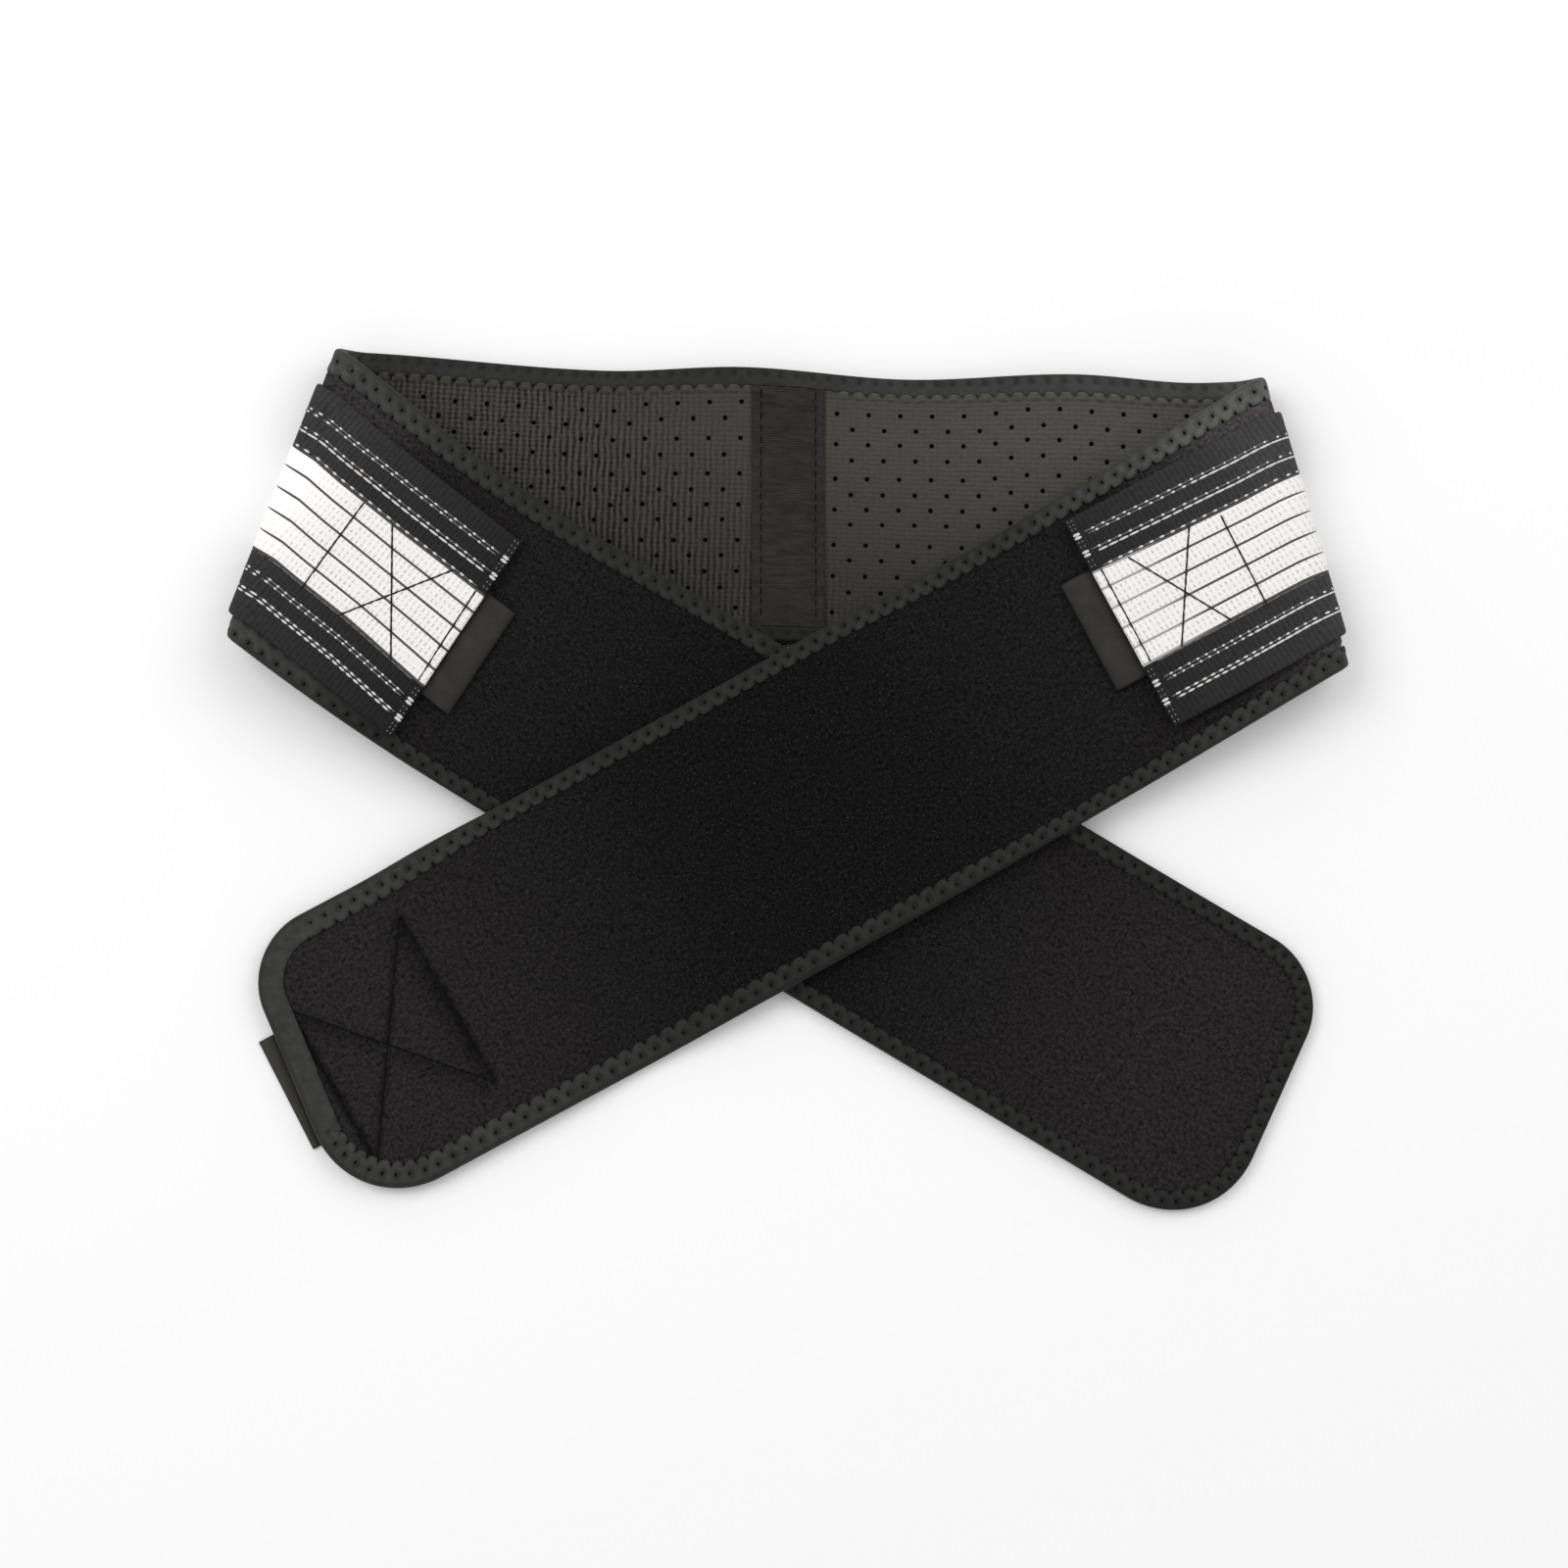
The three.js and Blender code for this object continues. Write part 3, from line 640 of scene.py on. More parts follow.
# Stations all round the belt's edge, some to each stitch of the binding: along the lower edge to the right
# tip and back along the upper edge
STITCH_PITCH = 5.4
STATIONS_PER_STITCH = 7
CASING_CLEAR = (2, 5)
edge_step = STITCH_PITCH / STATIONS_PER_STITCH
edge_rows = belt_rows(edge_step, edge_step)
tip_share = np.linspace(0, 1, math.ceil((BELT_WIDTH - LOWER_CORNER - UPPER_CORNER) / edge_step))[1:-1]
right_end, left_end = (np.repeat(edge_rows[:, [end]], len(tip_share), axis=1) for end in (-1, 0))
stations = np.concatenate([edge_rows, right_end, edge_rows[:, ::-1], left_end], axis=1)
lower_share, upper_share = np.zeros(edge_rows.shape[1]), np.ones(edge_rows.shape[1])
station_share = np.concatenate([lower_share, tip_share, upper_share, tip_share[::-1]])
edge_s, edge_t = row_places(stations, station_share, 0)
edge_steps = np.hypot(np.diff(edge_s, append=edge_s[0]), np.diff(edge_t, append=edge_t[0]))
perimeter = edge_steps.sum()
stitch_count = round(perimeter / STITCH_PITCH)
stitch_phase = np.concatenate([[0], np.cumsum(edge_steps)[:-1]]) * stitch_count / perimeter
between_stitches = np.abs(np.sin(np.pi * (stitch_phase - 0.5)))
off_casing = eased(np.abs(edge_s) - CASING_HALF_WIDTH, *CASING_CLEAR)


def swept_solid(profile):
    """A closed strip round the whole edge; each point of its profile is an inset and a layer."""
    points, places = [], []
    for inset, layer in profile:
        inset, layer = np.broadcast_arrays(inset, layer, stitch_phase)[:2]
        s, t = row_places(stations, station_share, inset)
        points.append(off_surface(belt_surface, s, t, layer))
        places.append(np.stack([s, t, layer], axis=-1))
    points, places = np.stack(points, axis=1), np.stack(places, axis=1)
    number = np.arange(points[..., 0].size).reshape(points.shape[:2])
    there = np.roll(number, -1, axis=0)
    faces = np.stack([number, np.roll(number, -1, 1), np.roll(there, -1, 1), there], axis=-1)
    return points.reshape(-1, 3), places.reshape(-1, 3), faces.reshape(-1, 4)


PUFF_HEIGHT = 1.2
WING_PUFF_HEIGHT = 0.75
NOTCH_DEPTH = 0.35
PUFF_FOLD = (160, 190)
STITCH_GAP = 0.25
PUFF_POWER = 0.7
SHALLOW_NOTCH = 0.45
DEEP_NOTCHES = (48, 66)
NOTCH_POWER = 1.5
# Profile of a puff: insets from the edge, and shares of its height
PUFFS = (
    (9.6, 0), (9.3, 0.2), (8.7, 0.55), (8.1, 0.88), (7.5, 1.0), (6.9, 0.9), (6.4, 0.5), (5.8, 0.15), (1.3, 0),
)
puff_height = lerp(PUFF_HEIGHT, WING_PUFF_HEIGHT, eased(np.abs(edge_s), *PUFF_FOLD))
puffed = (np.clip(between_stitches - STITCH_GAP, 0, 1) / (1 - STITCH_GAP)) ** PUFF_POWER
notch_depth = NOTCH_DEPTH * lerp(SHALLOW_NOTCH, 1, eased(-edge_s, *DEEP_NOTCHES))
puff = (puff_height * puffed - notch_depth * (1 - puffed) ** NOTCH_POWER) * off_casing
edge_profile = [(inset, LINING_OUTER + share * puff) for inset, share in PUFFS]
edge_profile += [(LINING_INSET, LINING_INNER), (FIELD_INSET, LINING_INNER)]

# Rib-knit polyester on foam: warm dark grey, with deep upright ribs on the left, else fine level courses.
# It is stretched at the upper right and slack towards the lower edge and the left. Light and shade are
# painted
# into it: paler at the upper right, darker towards the lower edge and the left, dark gaps between the ribs,
# lighter puffs, and dark holes and notches between the puffs.
RIB_PITCH = 2.16
COURSE_PITCH = 1.7
WAVE_TURN = math.pi / 10


def wave_field(tree, place, pitch, direction, distortion=0.0, detail=2, detail_scale=1.0):
    """Ribs a pitch in millimetres apart along X or Y of the belt place, more or less distorted."""
    inputs = {
        "Vector": place, "Scale": WAVE_TURN / pitch, "Distortion": distortion, "Detail": detail,
        "Detail Scale": detail_scale,
    }
    return add_node(tree, "ShaderNodeTexWave", inputs, bands_direction=direction).outputs["Fac"]


knit = new_material("perforated_rib_knit", Roughness=0.85, Specular_IOR_Level=0.12)
tree = knit.node_tree
place, place_x, place_y, place_z = carried_place(tree)
ribs = wave_field(tree, place, RIB_PITCH, "X", 2.4, 4, 1.1)
courses = wave_field(tree, place, COURSE_PITCH, "Y", 3.0, 3, 2.0)
grain = noise_field(tree, place, 0.55, 5, 0.7)
patches = noise_field(tree, place, 0.3, 4, 0.7)
course_share = shade_along(tree, place_x, (-140, -98, -72, 0), (0.34, 0.32, 0.1, 0.2))
loops_height = mixed(tree, course_share, ribs, courses)
deep_loops = ranged(tree, mixed(tree, 0.42, loops_height, grain), 0.2, 0.78)
level_height = mixed(tree, 0.75, courses, grain)
# The dark gaps between the ribs are painted shade
rib_gap_shaded_colour = mixed(tree, deep_loops, linear("#0a0a09"), linear("#545149"))
level_colour = mixed(tree, level_height, linear("#32312d"), linear("#4d4b45"))
low_left = add_node(tree, "ShaderNodeMath", {0: place_y, 1: 0.8, 2: place_x}, operation="MULTIPLY_ADD")
slack_share = ranged(tree, low_left.outputs["Value"], 6, -55, 0.06, 1.0)
flat_share = ranged(tree, place_z, LINING_OUTER + 0.05, LINING_OUTER + 0.5, 1.0, 0.15)
patch_share = ranged(tree, patches, 0.38, 0.58, 0.4, 1.0)
rib_share = shaded(tree, slack_share, flat_share, patch_share)
knit_colour = mixed(tree, rib_share, level_colour, rib_gap_shaded_colour)
knit_height = mixed(tree, rib_share, level_height, deep_loops)
# Painted light and shade: darker towards the lower edge, paler towards the right
painted_top_light = ranged(tree, place_y, -25, 25, 0.62, 1.02)
painted_right_light = ranged(tree, place_x, -60, 110, 0.76, 1.25)
# Painted highlight on the puffs
puff_highlight = ranged(tree, place_z, LINING_OUTER + 0.1, LINING_OUTER + 1.1, 1.0, 1.2)
# Painted shade in the holes and in the notches between the puffs
hole_shadow = ranged(tree, place_z, LINING_OUTER - 0.3, LINING_OUTER - 0.05)
shaded_knit = shaded(tree, knit_colour, painted_top_light, painted_right_light, puff_highlight)
hole_shadowed_colour = mixed(tree, hole_shadow, linear("#050505"), shaded_knit)
dress(knit, hole_shadowed_colour, knit_height, strength=0.6, depth=0.5)

lining = make_piece("lining_face", lining_solid, [knit])
lining_edge = make_piece("lining_edge", swept_solid(edge_profile), [knit])
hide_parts("inner_lining")

# Edge binding
# A stretch tape folded over the raw edge all round and sewn on with a zig-zag stitch. The needle leaves a row
# of dimples along the tape, and where it pierces the tape's edge that runs out in teeth or in small lobes.
TAPE_HIGH = 2.4
TAPE_LOW = -2.3
TAPE_THICK = 0.55
TAPE_EDGE = 1.0
HIGH_FACE = 6.4
CASING_FACE = 6.4
LOW_CASING_FACE = 5.1
HIGH_TOOTH = 1.1
LOW_FACE = 6.0
OUTER_ROW = 2.6
NEEDLE_WIDTH = 1.3
# How far the tape is drawn over the plush: places along the belt, and its spread at the upper and lower edge
SPREAD_AT = [-460, -330, -250, -200, 150, 200, 260, 300, 374, 465, 525]
UPPER_SPREAD = [1.05, 1.12, 1.28, 1.36, 1.36, 1.3, 1.2, 1.15, 1.03, 1.0, 1.5]
LOWER_SPREAD = [1.0, 1.0, 1.0, 1.0, 1.15, 1.18, 1.08, 1.0, 1.2, 1.38, 1.45]
# Where the tape lies loose round the right tip's end, and where the strap draws it further over the plush
LOOSE_ALONG = (RIGHT.total - 45, RIGHT.total - 20)
LOOSE_ACROSS = (-32, -14)
STRAP_TUCK = 2.2
TUCK_END = (250, 262)
EDGE_ROLL = 0.9
ROLL_RUN = (8, 24)
TOOTH_POWER = 1.5
CASING_TOOTH = 0.7
LEFT_LOBES = 0.15
RIGHT_LOBES = 0.6
LOBE_RUN = (-100, 100)
LOBE_PUFF = 0.12
LOBE_AT = 5
LOBE_WIDTH = 1.3
ROW_POWER = 1.3
ROW_INSET = 0.45
LOOSE_DIMPLES = 0.75
HIGH_DIMPLE = 0.6
OUTER_DIMPLE = 0.85
INNER_DIMPLE = 0.5
ROUND_LAYERS = (0.6, -0.5)
FACE_LIP = 0.1
FACE_SHARES = (1.0, 0.96, 0.86, 0.74, 0.62, 0.5, 0.38, 0.26, 0.15, 0.06)
FACE_CROWN = (-0.35, -0.1, 0.0, 0.0, 0.0, 0.0, 0.0, -0.07, -0.25, -0.65)

from_needles = [STITCH_PITCH * np.abs((stitch_phase + shift) % 1 - 0.5) for shift in (0.5, 0)]
spread = np.where(edge_t > 0, *(eased_table(edge_s, SPREAD_AT, row) for row in (UPPER_SPREAD, LOWER_SPREAD)))
loose = eased(edge_s, *LOOSE_ALONG) * eased(edge_t, *LOOSE_ACROSS)
edge_roll = EDGE_ROLL * (1 - eased(np.abs(edge_s), *ROLL_RUN)) * (edge_t < 0)
tooth = HIGH_TOOTH * (1 - between_stitches) ** TOOTH_POWER
casing_face = np.where(edge_t > 0, CASING_FACE + CASING_TOOTH * tooth, LOW_CASING_FACE)
high_face = lerp(casing_face, HIGH_FACE + tooth, off_casing)
lobe_depth = lerp(LEFT_LOBES, RIGHT_LOBES, eased(edge_s, *LOBE_RUN)) * (1 - loose)
under_strap = eased(-edge_s, LEFT.fold_at, LEFT.wing_start) * (1 - eased(-edge_s, *TUCK_END)) * (edge_t < 0)
low_face = (LOW_FACE - lobe_depth * (1 - between_stitches)) * spread + STRAP_TUCK * under_strap
outer_row = OUTER_ROW * spread ** ROW_POWER
inner_row = low_face - ROW_INSET


def dimple(inset, rows):
    """How deep the tape's face sinks at rows of needle dimples, a distance in from the edge."""
    return (1 - LOOSE_DIMPLES * loose) * sum(
        depth * np.exp(-(from_needle / NEEDLE_WIDTH) ** 2 - ((inset - row) / NEEDLE_WIDTH) ** 2)
        for from_needle, row, depth in rows
    )


tape_profile = []
for share, crown in zip(FACE_SHARES, FACE_CROWN):
    inset = share * high_face - edge_roll * (1 - share)
    sunk = dimple(inset, [(from_needles[0], OUTER_ROW, HIGH_DIMPLE)])
    tape_profile.append((inset, TAPE_HIGH + crown - sunk))
tape_profile += [(-edge_roll, layer) for layer in ROUND_LAYERS]
low_rows = [(from_needles[0], outer_row, OUTER_DIMPLE), (from_needles[1], inner_row, INNER_DIMPLE)]
for share, crown in zip(FACE_SHARES[::-1], FACE_CROWN[::-1]):
    inset = share * low_face - edge_roll * (1 - share)
    lobe_share = np.exp(-((inset / spread - LOBE_AT) / LOBE_WIDTH) ** 2)
    lobe = LOBE_PUFF * (1 - loose) * between_stitches * lobe_share
    tape_profile.append((inset, TAPE_LOW - crown - lobe + dimple(inset, low_rows)))
inside_low, inside_high = TAPE_LOW + TAPE_THICK, TAPE_HIGH - TAPE_THICK
tape_profile += [(low_face - FACE_LIP, inside_low), (TAPE_EDGE, inside_low)]
tape_profile += [(TAPE_EDGE, inside_high), (high_face - FACE_LIP, inside_high)]

# Stretch binding tape, nylon and elastane: charcoal with a faint sheen and a fine grain. Light and shade are
# painted into it: paler round the folds and at the right tip, darker at the left tip and past the casing,
# lighter on the puffed lobes and darker in the needle dimples.
TAPE_GRAIN = 0.7
tape_cloth = new_material(
    "stretch_binding_tape", Roughness=0.75, Specular_IOR_Level=0.15, Sheen_Weight=0.06, Sheen_Roughness=0.5,
)
tree = tape_cloth.node_tree
place, place_x, place_y, place_z = carried_place(tree)
tape_grain = noise_field(tree, place, 1 / TAPE_GRAIN, 2)
tape_mottle = noise_field(tree, place, 0.25, 4, 0.65)
tape_colour = mixed(tree, tape_mottle, linear("#151514"), linear("#333331"))
# Painted light and shade along the upper and the lower edge, with highlights round the folds and at the right
# tip
upper_edge_light = shade_along(
    tree, place_x,
    (-600, -270, -225, -195, -160, -146, -20, 40, 140, 165, 195, 225, 275, 420, 530, 600),
    (0.75, 0.9, 1.2, 1.9, 2.5, 1.0, 1.0, 1.5, 2.1, 4.8, 4.2, 2.4, 1.1, 0.9, 1.7, 1.7),
)
lower_edge_light = shade_along(
    tree, place_x,
    (-600, -545, -470, -250, -215, -180, -60, -15, 15, 60, 140, 180, 230, 275, 420, 530, 600),
    (0.85, 0.85, 0.75, 0.9, 1.8, 2.5, 1.0, 0.6, 0.6, 1.0, 1.0, 1.7, 1.5, 0.95, 0.85, 1.7, 1.7),
)
tape_light_and_shade = mixed(tree, ranged(tree, place_y, -10, 10), lower_edge_light, upper_edge_light)
# Painted highlight on the puffed lobes and painted shade in the needle dimples
lobe_light_and_dimple_shade = shade_along(
    tree, place_z, (-2.65, -2.35, -1.9, 1.9, 2.3, 2.6), (1.45, 1.0, 0.6, 0.6, 1.0, 1.0),
)
dress(tape_cloth, shaded(tree, tape_colour, tape_light_and_shade, lobe_light_and_dimple_shade), tape_grain, strength=0.3, depth=0.2)

binding = make_piece("binding_tape", swept_solid(tape_profile), [tape_cloth])
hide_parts("edge_binding")

# Binding stitches
# Black thread of the zig-zag seam: only the short runs that dip into the needle dimples show, and none along
# the right tip's end. The same short closed thread also serves for every other seam on the belt.
THREAD_SIDES = 6
THREAD_RINGS = ((0, 0.3), (0.15, 0.8), (0.5, 1.0), (0.85, 0.8), (1, 0.3))


def thread_piece(name, runs, radius, material):
    """Short closed threads, thick in the middle, from runs of starts, ends and outward directions."""
    starts, ends, outward = (np.concatenate([run[k] for run in runs]) for k in range(3))
    axis = ends - starts
    side = np.cross(axis, outward)
    side = side / np.linalg.norm(side, axis=-1, keepdims=True)
    rise = np.cross(side, axis)
    rise = rise / np.linalg.norm(rise, axis=-1, keepdims=True)
    angle = (np.arange(THREAD_SIDES) * 2 * np.pi / THREAD_SIDES)[:, None]
    points = np.stack([
        (starts + axis * share)[:, None]
        + radius * thick * (side[:, None] * np.cos(angle) + rise[:, None] * np.sin(angle))
        for share, thick in THREAD_RINGS
    ], axis=1)
    number = np.arange(points[..., 0].size).reshape(points.shape[:3])
    low, high = number[:, :-1], number[:, 1:]
    walls = np.stack([low, np.roll(low, -1, 2), np.roll(high, -1, 2), high], axis=-1).reshape(-1, 4)
    caps = [number[:, 0][:, corners] for corners in ([3, 2, 1, 0], [5, 4, 3, 0])]
    caps += [number[:, -1][:, corners] for corners in ([0, 1, 2, 3], [0, 3, 4, 5])]
    points = points.reshape(-1, 3)
    return make_piece(name, (points, points, np.concatenate([walls, *caps])), [material])


def thread_run(surface, start, end, outwards):
    """Start points, end points and outward directions of threads between belt places (s, t and layer)."""
    ends = [off_surface(surface, *place) for place in (start, end)]
    s, t = np.broadcast_arrays(*start[:2])
    return *ends, face_direction(surface, np.asarray(s, float), np.asarray(t, float)) * outwards


# Spun polyester thread, black: matt, darker than the cloth that it lies in
black_thread = new_material(
    "black_polyester_thread", Base_Color=linear("#080808"), Roughness=0.8, Specular_IOR_Level=0.1,
)

STITCH_RADIUS = 1.0
STITCH_REACH = 0.75
LOOSE_LIMIT = 0.9
# Rows of stitches: inset, phase along the edge, layer and outward side of the tape's face, and depth below it
STITCH_ROWS = (
    (np.full_like(spread, OUTER_ROW), 0, TAPE_HIGH, 1, 0.4),
    (outer_row, 0, TAPE_LOW, -1, 0.05),
    (inner_row, 0.5, TAPE_LOW, -1, 0.05),
)
stitch_runs = []
for row, offset, face, outwards, sunk in STITCH_ROWS:
    spot = np.searchsorted(stitch_phase, np.arange(stitch_count) + offset) % len(stitch_phase)
    spot = spot[loose[spot] < LOOSE_LIMIT]
    ends = (spot - 1, (spot + 1) % len(stitch_phase))
    layer = face - outwards * (STITCH_RADIUS + sunk)
    before, after = (row_places(stations[:, k], station_share[k], row[spot]) for k in ends)
    start, end = (
        [lerp(lerp(low, high, 0.5), one, STITCH_REACH) for low, high, one in zip(before, after, chosen)]
        for chosen in (before, after)
    )
    stitch_runs.append(thread_run(belt_surface, (*start, layer), (*end, layer), outwards))
thread_piece("binding_stitches", stitch_runs, STITCH_RADIUS, black_thread)

# Casing on the back
# A woven strip up the middle of the back, sewn down along both sides over the stay that it holds.
# Its ends are caught by the edge binding's stitches, and it lies in shallow cross creases.
CASING_THICK = 0.7
CASING_CROWN = 0.35
CASING_SEAM = 3.2
CASING_STEP = 0.7
CASING_DROP = 1.5
# Cross creases: how wide they are for their length, their wavelength and their height
CREASES = ((4, 2.6, 0.22), (3, 8, 0.3))
CREASE_FROM_SEAM = 3
SEAM_GROOVE = 0.55
GROOVE_WIDTH = 0.9
END_RUN = 3.5
END_SINK = 0.75
END_SCALLOP = 0.5
CASING_RIM = 0.3
CASING_LEAST = 0.15
casing_side, casing_t = np.meshgrid(
    np.linspace(-1, 1, round(2 * CASING_HALF_WIDTH / CASING_STEP)),
    np.linspace(
        -CASING_HALF_LENGTH - CASING_DROP, CASING_HALF_LENGTH, round(2 * CASING_HALF_LENGTH / CASING_STEP),
    ),
    indexing="ij",
)
casing_s = CASING_CENTRE + casing_side * CASING_HALF_WIDTH + casing_t * CASING_LEAN
from_seam = CASING_HALF_WIDTH * (1 - np.abs(casing_side)) - CASING_SEAM
to_end = CASING_HALF_LENGTH + CASING_DROP / 2 - np.abs(casing_t + CASING_DROP / 2)
creases = sum(cloth_swell(casing_s / wide, casing_t, length, height) for wide, length, height in CREASES)
casing_thick = CASING_THICK + CASING_CROWN * (1 - casing_side ** 2)
casing_thick = casing_thick + eased(from_seam, 0, CREASE_FROM_SEAM) * creases
casing_thick = casing_thick - SEAM_GROOVE * np.exp(-(from_seam / GROOVE_WIDTH) ** 2)
scallop = END_SCALLOP * np.abs(np.sin(np.pi * casing_s / STITCH_PITCH))
casing_thick = casing_thick - eased(-to_end, -END_RUN, 0) * (END_SINK - scallop)
casing_thick = np.where(np.abs(casing_side) == 1, CASING_RIM, np.maximum(casing_thick, CASING_LEAST))

# Plain-woven polyester: near black, dull, with fine level threads
CASING_THREAD = 0.8
casing_cloth = new_material("plain_woven_casing", Roughness=0.8, Specular_IOR_Level=0.12)
tree = casing_cloth.node_tree
place = carried_place(tree)[0]
level_threads = wave_field(tree, place, CASING_THREAD, "Y", 2.0, 3)
streaks = add_node(tree, "ShaderNodeMapping", {"Vector": place, "Scale": (0.25, 1.0, 1.0)})
casing_mottle = noise_field(tree, streaks.outputs["Vector"], 0.5, 6, 0.75)
casing_height = mixed(tree, 0.18, casing_mottle, level_threads)
casing_share = ranged(tree, casing_height, 0.36, 0.64)
casing_colour = mixed(tree, casing_share, linear("#1b1a1a"), linear("#312f2d"))
dress(casing_cloth, casing_colour, casing_height, strength=0.4, depth=0.2)

casing_solid = sheet_solid(belt_surface, casing_s, casing_t, CASING_BASE + casing_thick, CASING_BASE)
casing = make_piece("back_casing", casing_solid, [casing_cloth])
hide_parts("centre_channel")

CASING_STITCH = 4.0
CASING_DASH = 3.6
CASING_THREAD_RADIUS = 0.3
CASING_THREAD_HEIGHT = 0.26
SEAM_FROM_END = 2
seam_t = np.arange(-CASING_HALF_LENGTH + SEAM_FROM_END, CASING_HALF_LENGTH - SEAM_FROM_END, CASING_STITCH)
seam_layer = CASING_BASE + CASING_THREAD_HEIGHT
seam_runs = []
for side in (-1, 1):
    seam_s = CASING_CENTRE + side * (CASING_HALF_WIDTH - CASING_SEAM) + seam_t * CASING_LEAN
    ends = [(seam_s, seam_t + dash, seam_layer) for dash in (0, CASING_DASH)]
    seam_runs.append(thread_run(belt_surface, *ends, 1))
thread_piece("casing_seams", seam_runs, CASING_THREAD_RADIUS, black_thread)

# Elastic straps
# Each is a wide woven elastic that starts at the middle of the back under the plush, goes round the fold with
# the belt and lies on the wing: white ribbed bands between black borders with twisted white cords in them.
STRAP_WIDTH = 79
STRAP_INNER = -2.6
STRAP_OUTER = -4.3
STRAP_LIFT = 0.9
STRAP_LIFT_RUN = 10
STRAP_START = 0.5
TAB_UNDER_STRAP = 50
WEFT_PITCH = 1.85
ROWS_PER_WEFT = 4
FINE_BEFORE_FOLD = 35
BAND_EDGES = (-17.2, -10.92, -3.64, 3.64, 10.92, 17.2)
BAND_COLUMNS = 7
LINE_HALF = 0.4
BAND_CROWN = 0.25
# The border's columns: steps in from the strap's edge and their relief, then first, end and pitch of the rest
EDGE_STEPS = (0, 0.25, 0.8)
EDGE_RELIEF = (-0.75, -0.3, -0.05)
BORDER_STEPS = (2.3, 21, 1.5)
BLACK, WHITE, GREY = 0, 1, 2
BEAD_SINK = 0.45
WEFT_RELIEF = 0.1
HEM = 3.2
HEM_RISE = 0.3
UNDER_TAB = 4
PRESSED_RUN = 6
# How a strap's stripes wander: steps from its middle, distances from the wing's start, and shifts at each
STRIPE_STEPS = (-39.5, -31, -18, 18, 31, 39.5)
STRIPE_AT = (-90, -35, -10, 12, 35, 67)
# For each strap: its wing, its middle and turn against the belt's, its end past the wing's start and the
# slant there, its tab's middle and end, its stripes' shift, where it stops being drawn tight, and its seams
STRAPS = [
    SimpleNamespace(
        wing=LEFT, across=-3.6, turn=0, end=69, end_slant=-4.3, tab_across=-5.3, tab_end=81,
        stripes=-0.6, drawn=-40,
        wander=[
            (0, 0, 0, 0, 0, 0), (0.8, 1.9, 1.9, 3.1, 2.2, 2.7), (0.8, 1.9, 1.9, 3.1, 2.2, 2.7),
            (0.2, 0.6, 0.6, 0.9, 0.6, 0.8), (0, 0, 0, 0, 0, 0), (-0.7, -2.1, -2.2, 0, 0, 0),
        ],
        seams=[
            ((17, 13.6), (19, -22)), ((28.8, 13.4), (56.3, -22.8)),
            ((34, -22.2), (53.6, 12.9)), ((64.3, 12.9), (67.7, -22.2)),
        ],
    ),
    SimpleNamespace(
        wing=RIGHT, across=-1.8, turn=3, end=64.2, end_slant=-3.6, tab_across=-1.1, tab_end=75.6,
        stripes=1.0, drawn=26,
        wander=[
            (0, 0, 0, 0, 0, 0), (2.0, 1.7, 0.8, -0.3, -0.3, 0), (2.0, 1.7, 0.8, -0.3, -0.3, 0),
            (0.6, 0.6, 0.3, -0.9, -0.9, -0.3), (0, 0, 0, 0, 0, 0), (0, 0, 0, 1.6, 1.8, 0.2),
        ],
        seams=[
            ((16.8, 15.4), (19.9, -18.6)), ((27.1, 18.1), (50.5, -15.6)),
            ((50.1, 19.2), (32.8, -16.6)), ((59.8, 20.9), (62.2, -14.3)),
        ],
    ),
]


def strap_flat(strap, along, across, step):
    """Belt place on a strap or tab, from the distance along the belt and from the strap's middle line."""
    wing = strap.wing
    drift = np.maximum(along - wing.wing_start, 0) * math.tan(math.radians(strap.turn))
    slope = row_slope(wing, along, strap.end_slant, wing.wing_start + strap.end)
    return wing.side * (along + step * slope), across + step + drift


def on_strap(strap, along, step, height):
    """Belt place and layer on a strap's face, with the stripes' own shift, a height above the ground weave.
    Under the back the face is pressed level, so that the belt lies flat on the table."""
    shift = strap.stripes * (1 - np.abs(step) / (STRAP_WIDTH / 2)) + sum(
        np.interp(along - strap.wing.wing_start, STRIPE_AT, share) * np.interp(step, STRIPE_STEPS, shifts)
        for share, shifts in zip(np.eye(len(STRIPE_AT)), strap.wander)
    )
    tab_start = strap.wing.wing_start + strap.end - TAB_UNDER_STRAP - UNDER_TAB
    lift = STRAP_LIFT * eased(along, tab_start - STRAP_LIFT_RUN, tab_start)
    s, t = strap_flat(strap, along, strap.across, step + shift)
    past_fold = (np.abs(s) - strap.wing.fold_at) * strap.wing.cos + t * strap.wing.sin
    return s, t, STRAP_OUTER - lift - lerp(-BEAD_SINK, height, eased(past_fold, 0, PRESSED_RUN))


def strap_columns():
    """Steps across the webbing from its middle, how far each can move to close the lines between the bands,
    the relief there, and the yarn between each and the next."""
    border = np.concatenate([EDGE_STEPS, np.arange(*BORDER_STEPS)]) - STRAP_WIDTH / 2
    border = np.append(border, BAND_EDGES[0] - LINE_HALF)
    border_relief = np.concatenate([EDGE_RELIEF, np.zeros(len(border) - len(EDGE_RELIEF))])
    steps, relief, yarns = list(border), list(border_relief), [BLACK] * (len(border) - 1) + [GREY]
    closing = [0] * len(border)
    for low, high in zip(BAND_EDGES, BAND_EDGES[1:]):
        inner = np.linspace(-1, 1, BAND_COLUMNS)
        steps.extend(lerp(low + LINE_HALF, high - LINE_HALF, (inner + 1) / 2))
        closing.extend(LINE_HALF * inner)
        relief.extend(BAND_CROWN * (1 - inner ** 4))
        yarns.extend([WHITE] * (BAND_COLUMNS - 1) + [GREY])
    steps.extend(-border[::-1])
    closing.extend([0] * len(border))
    relief.extend(border_relief[::-1])
    yarns.extend([BLACK] * (len(border) - 1))
    return np.array(steps), np.array(closing), np.array(relief), np.array(yarns)
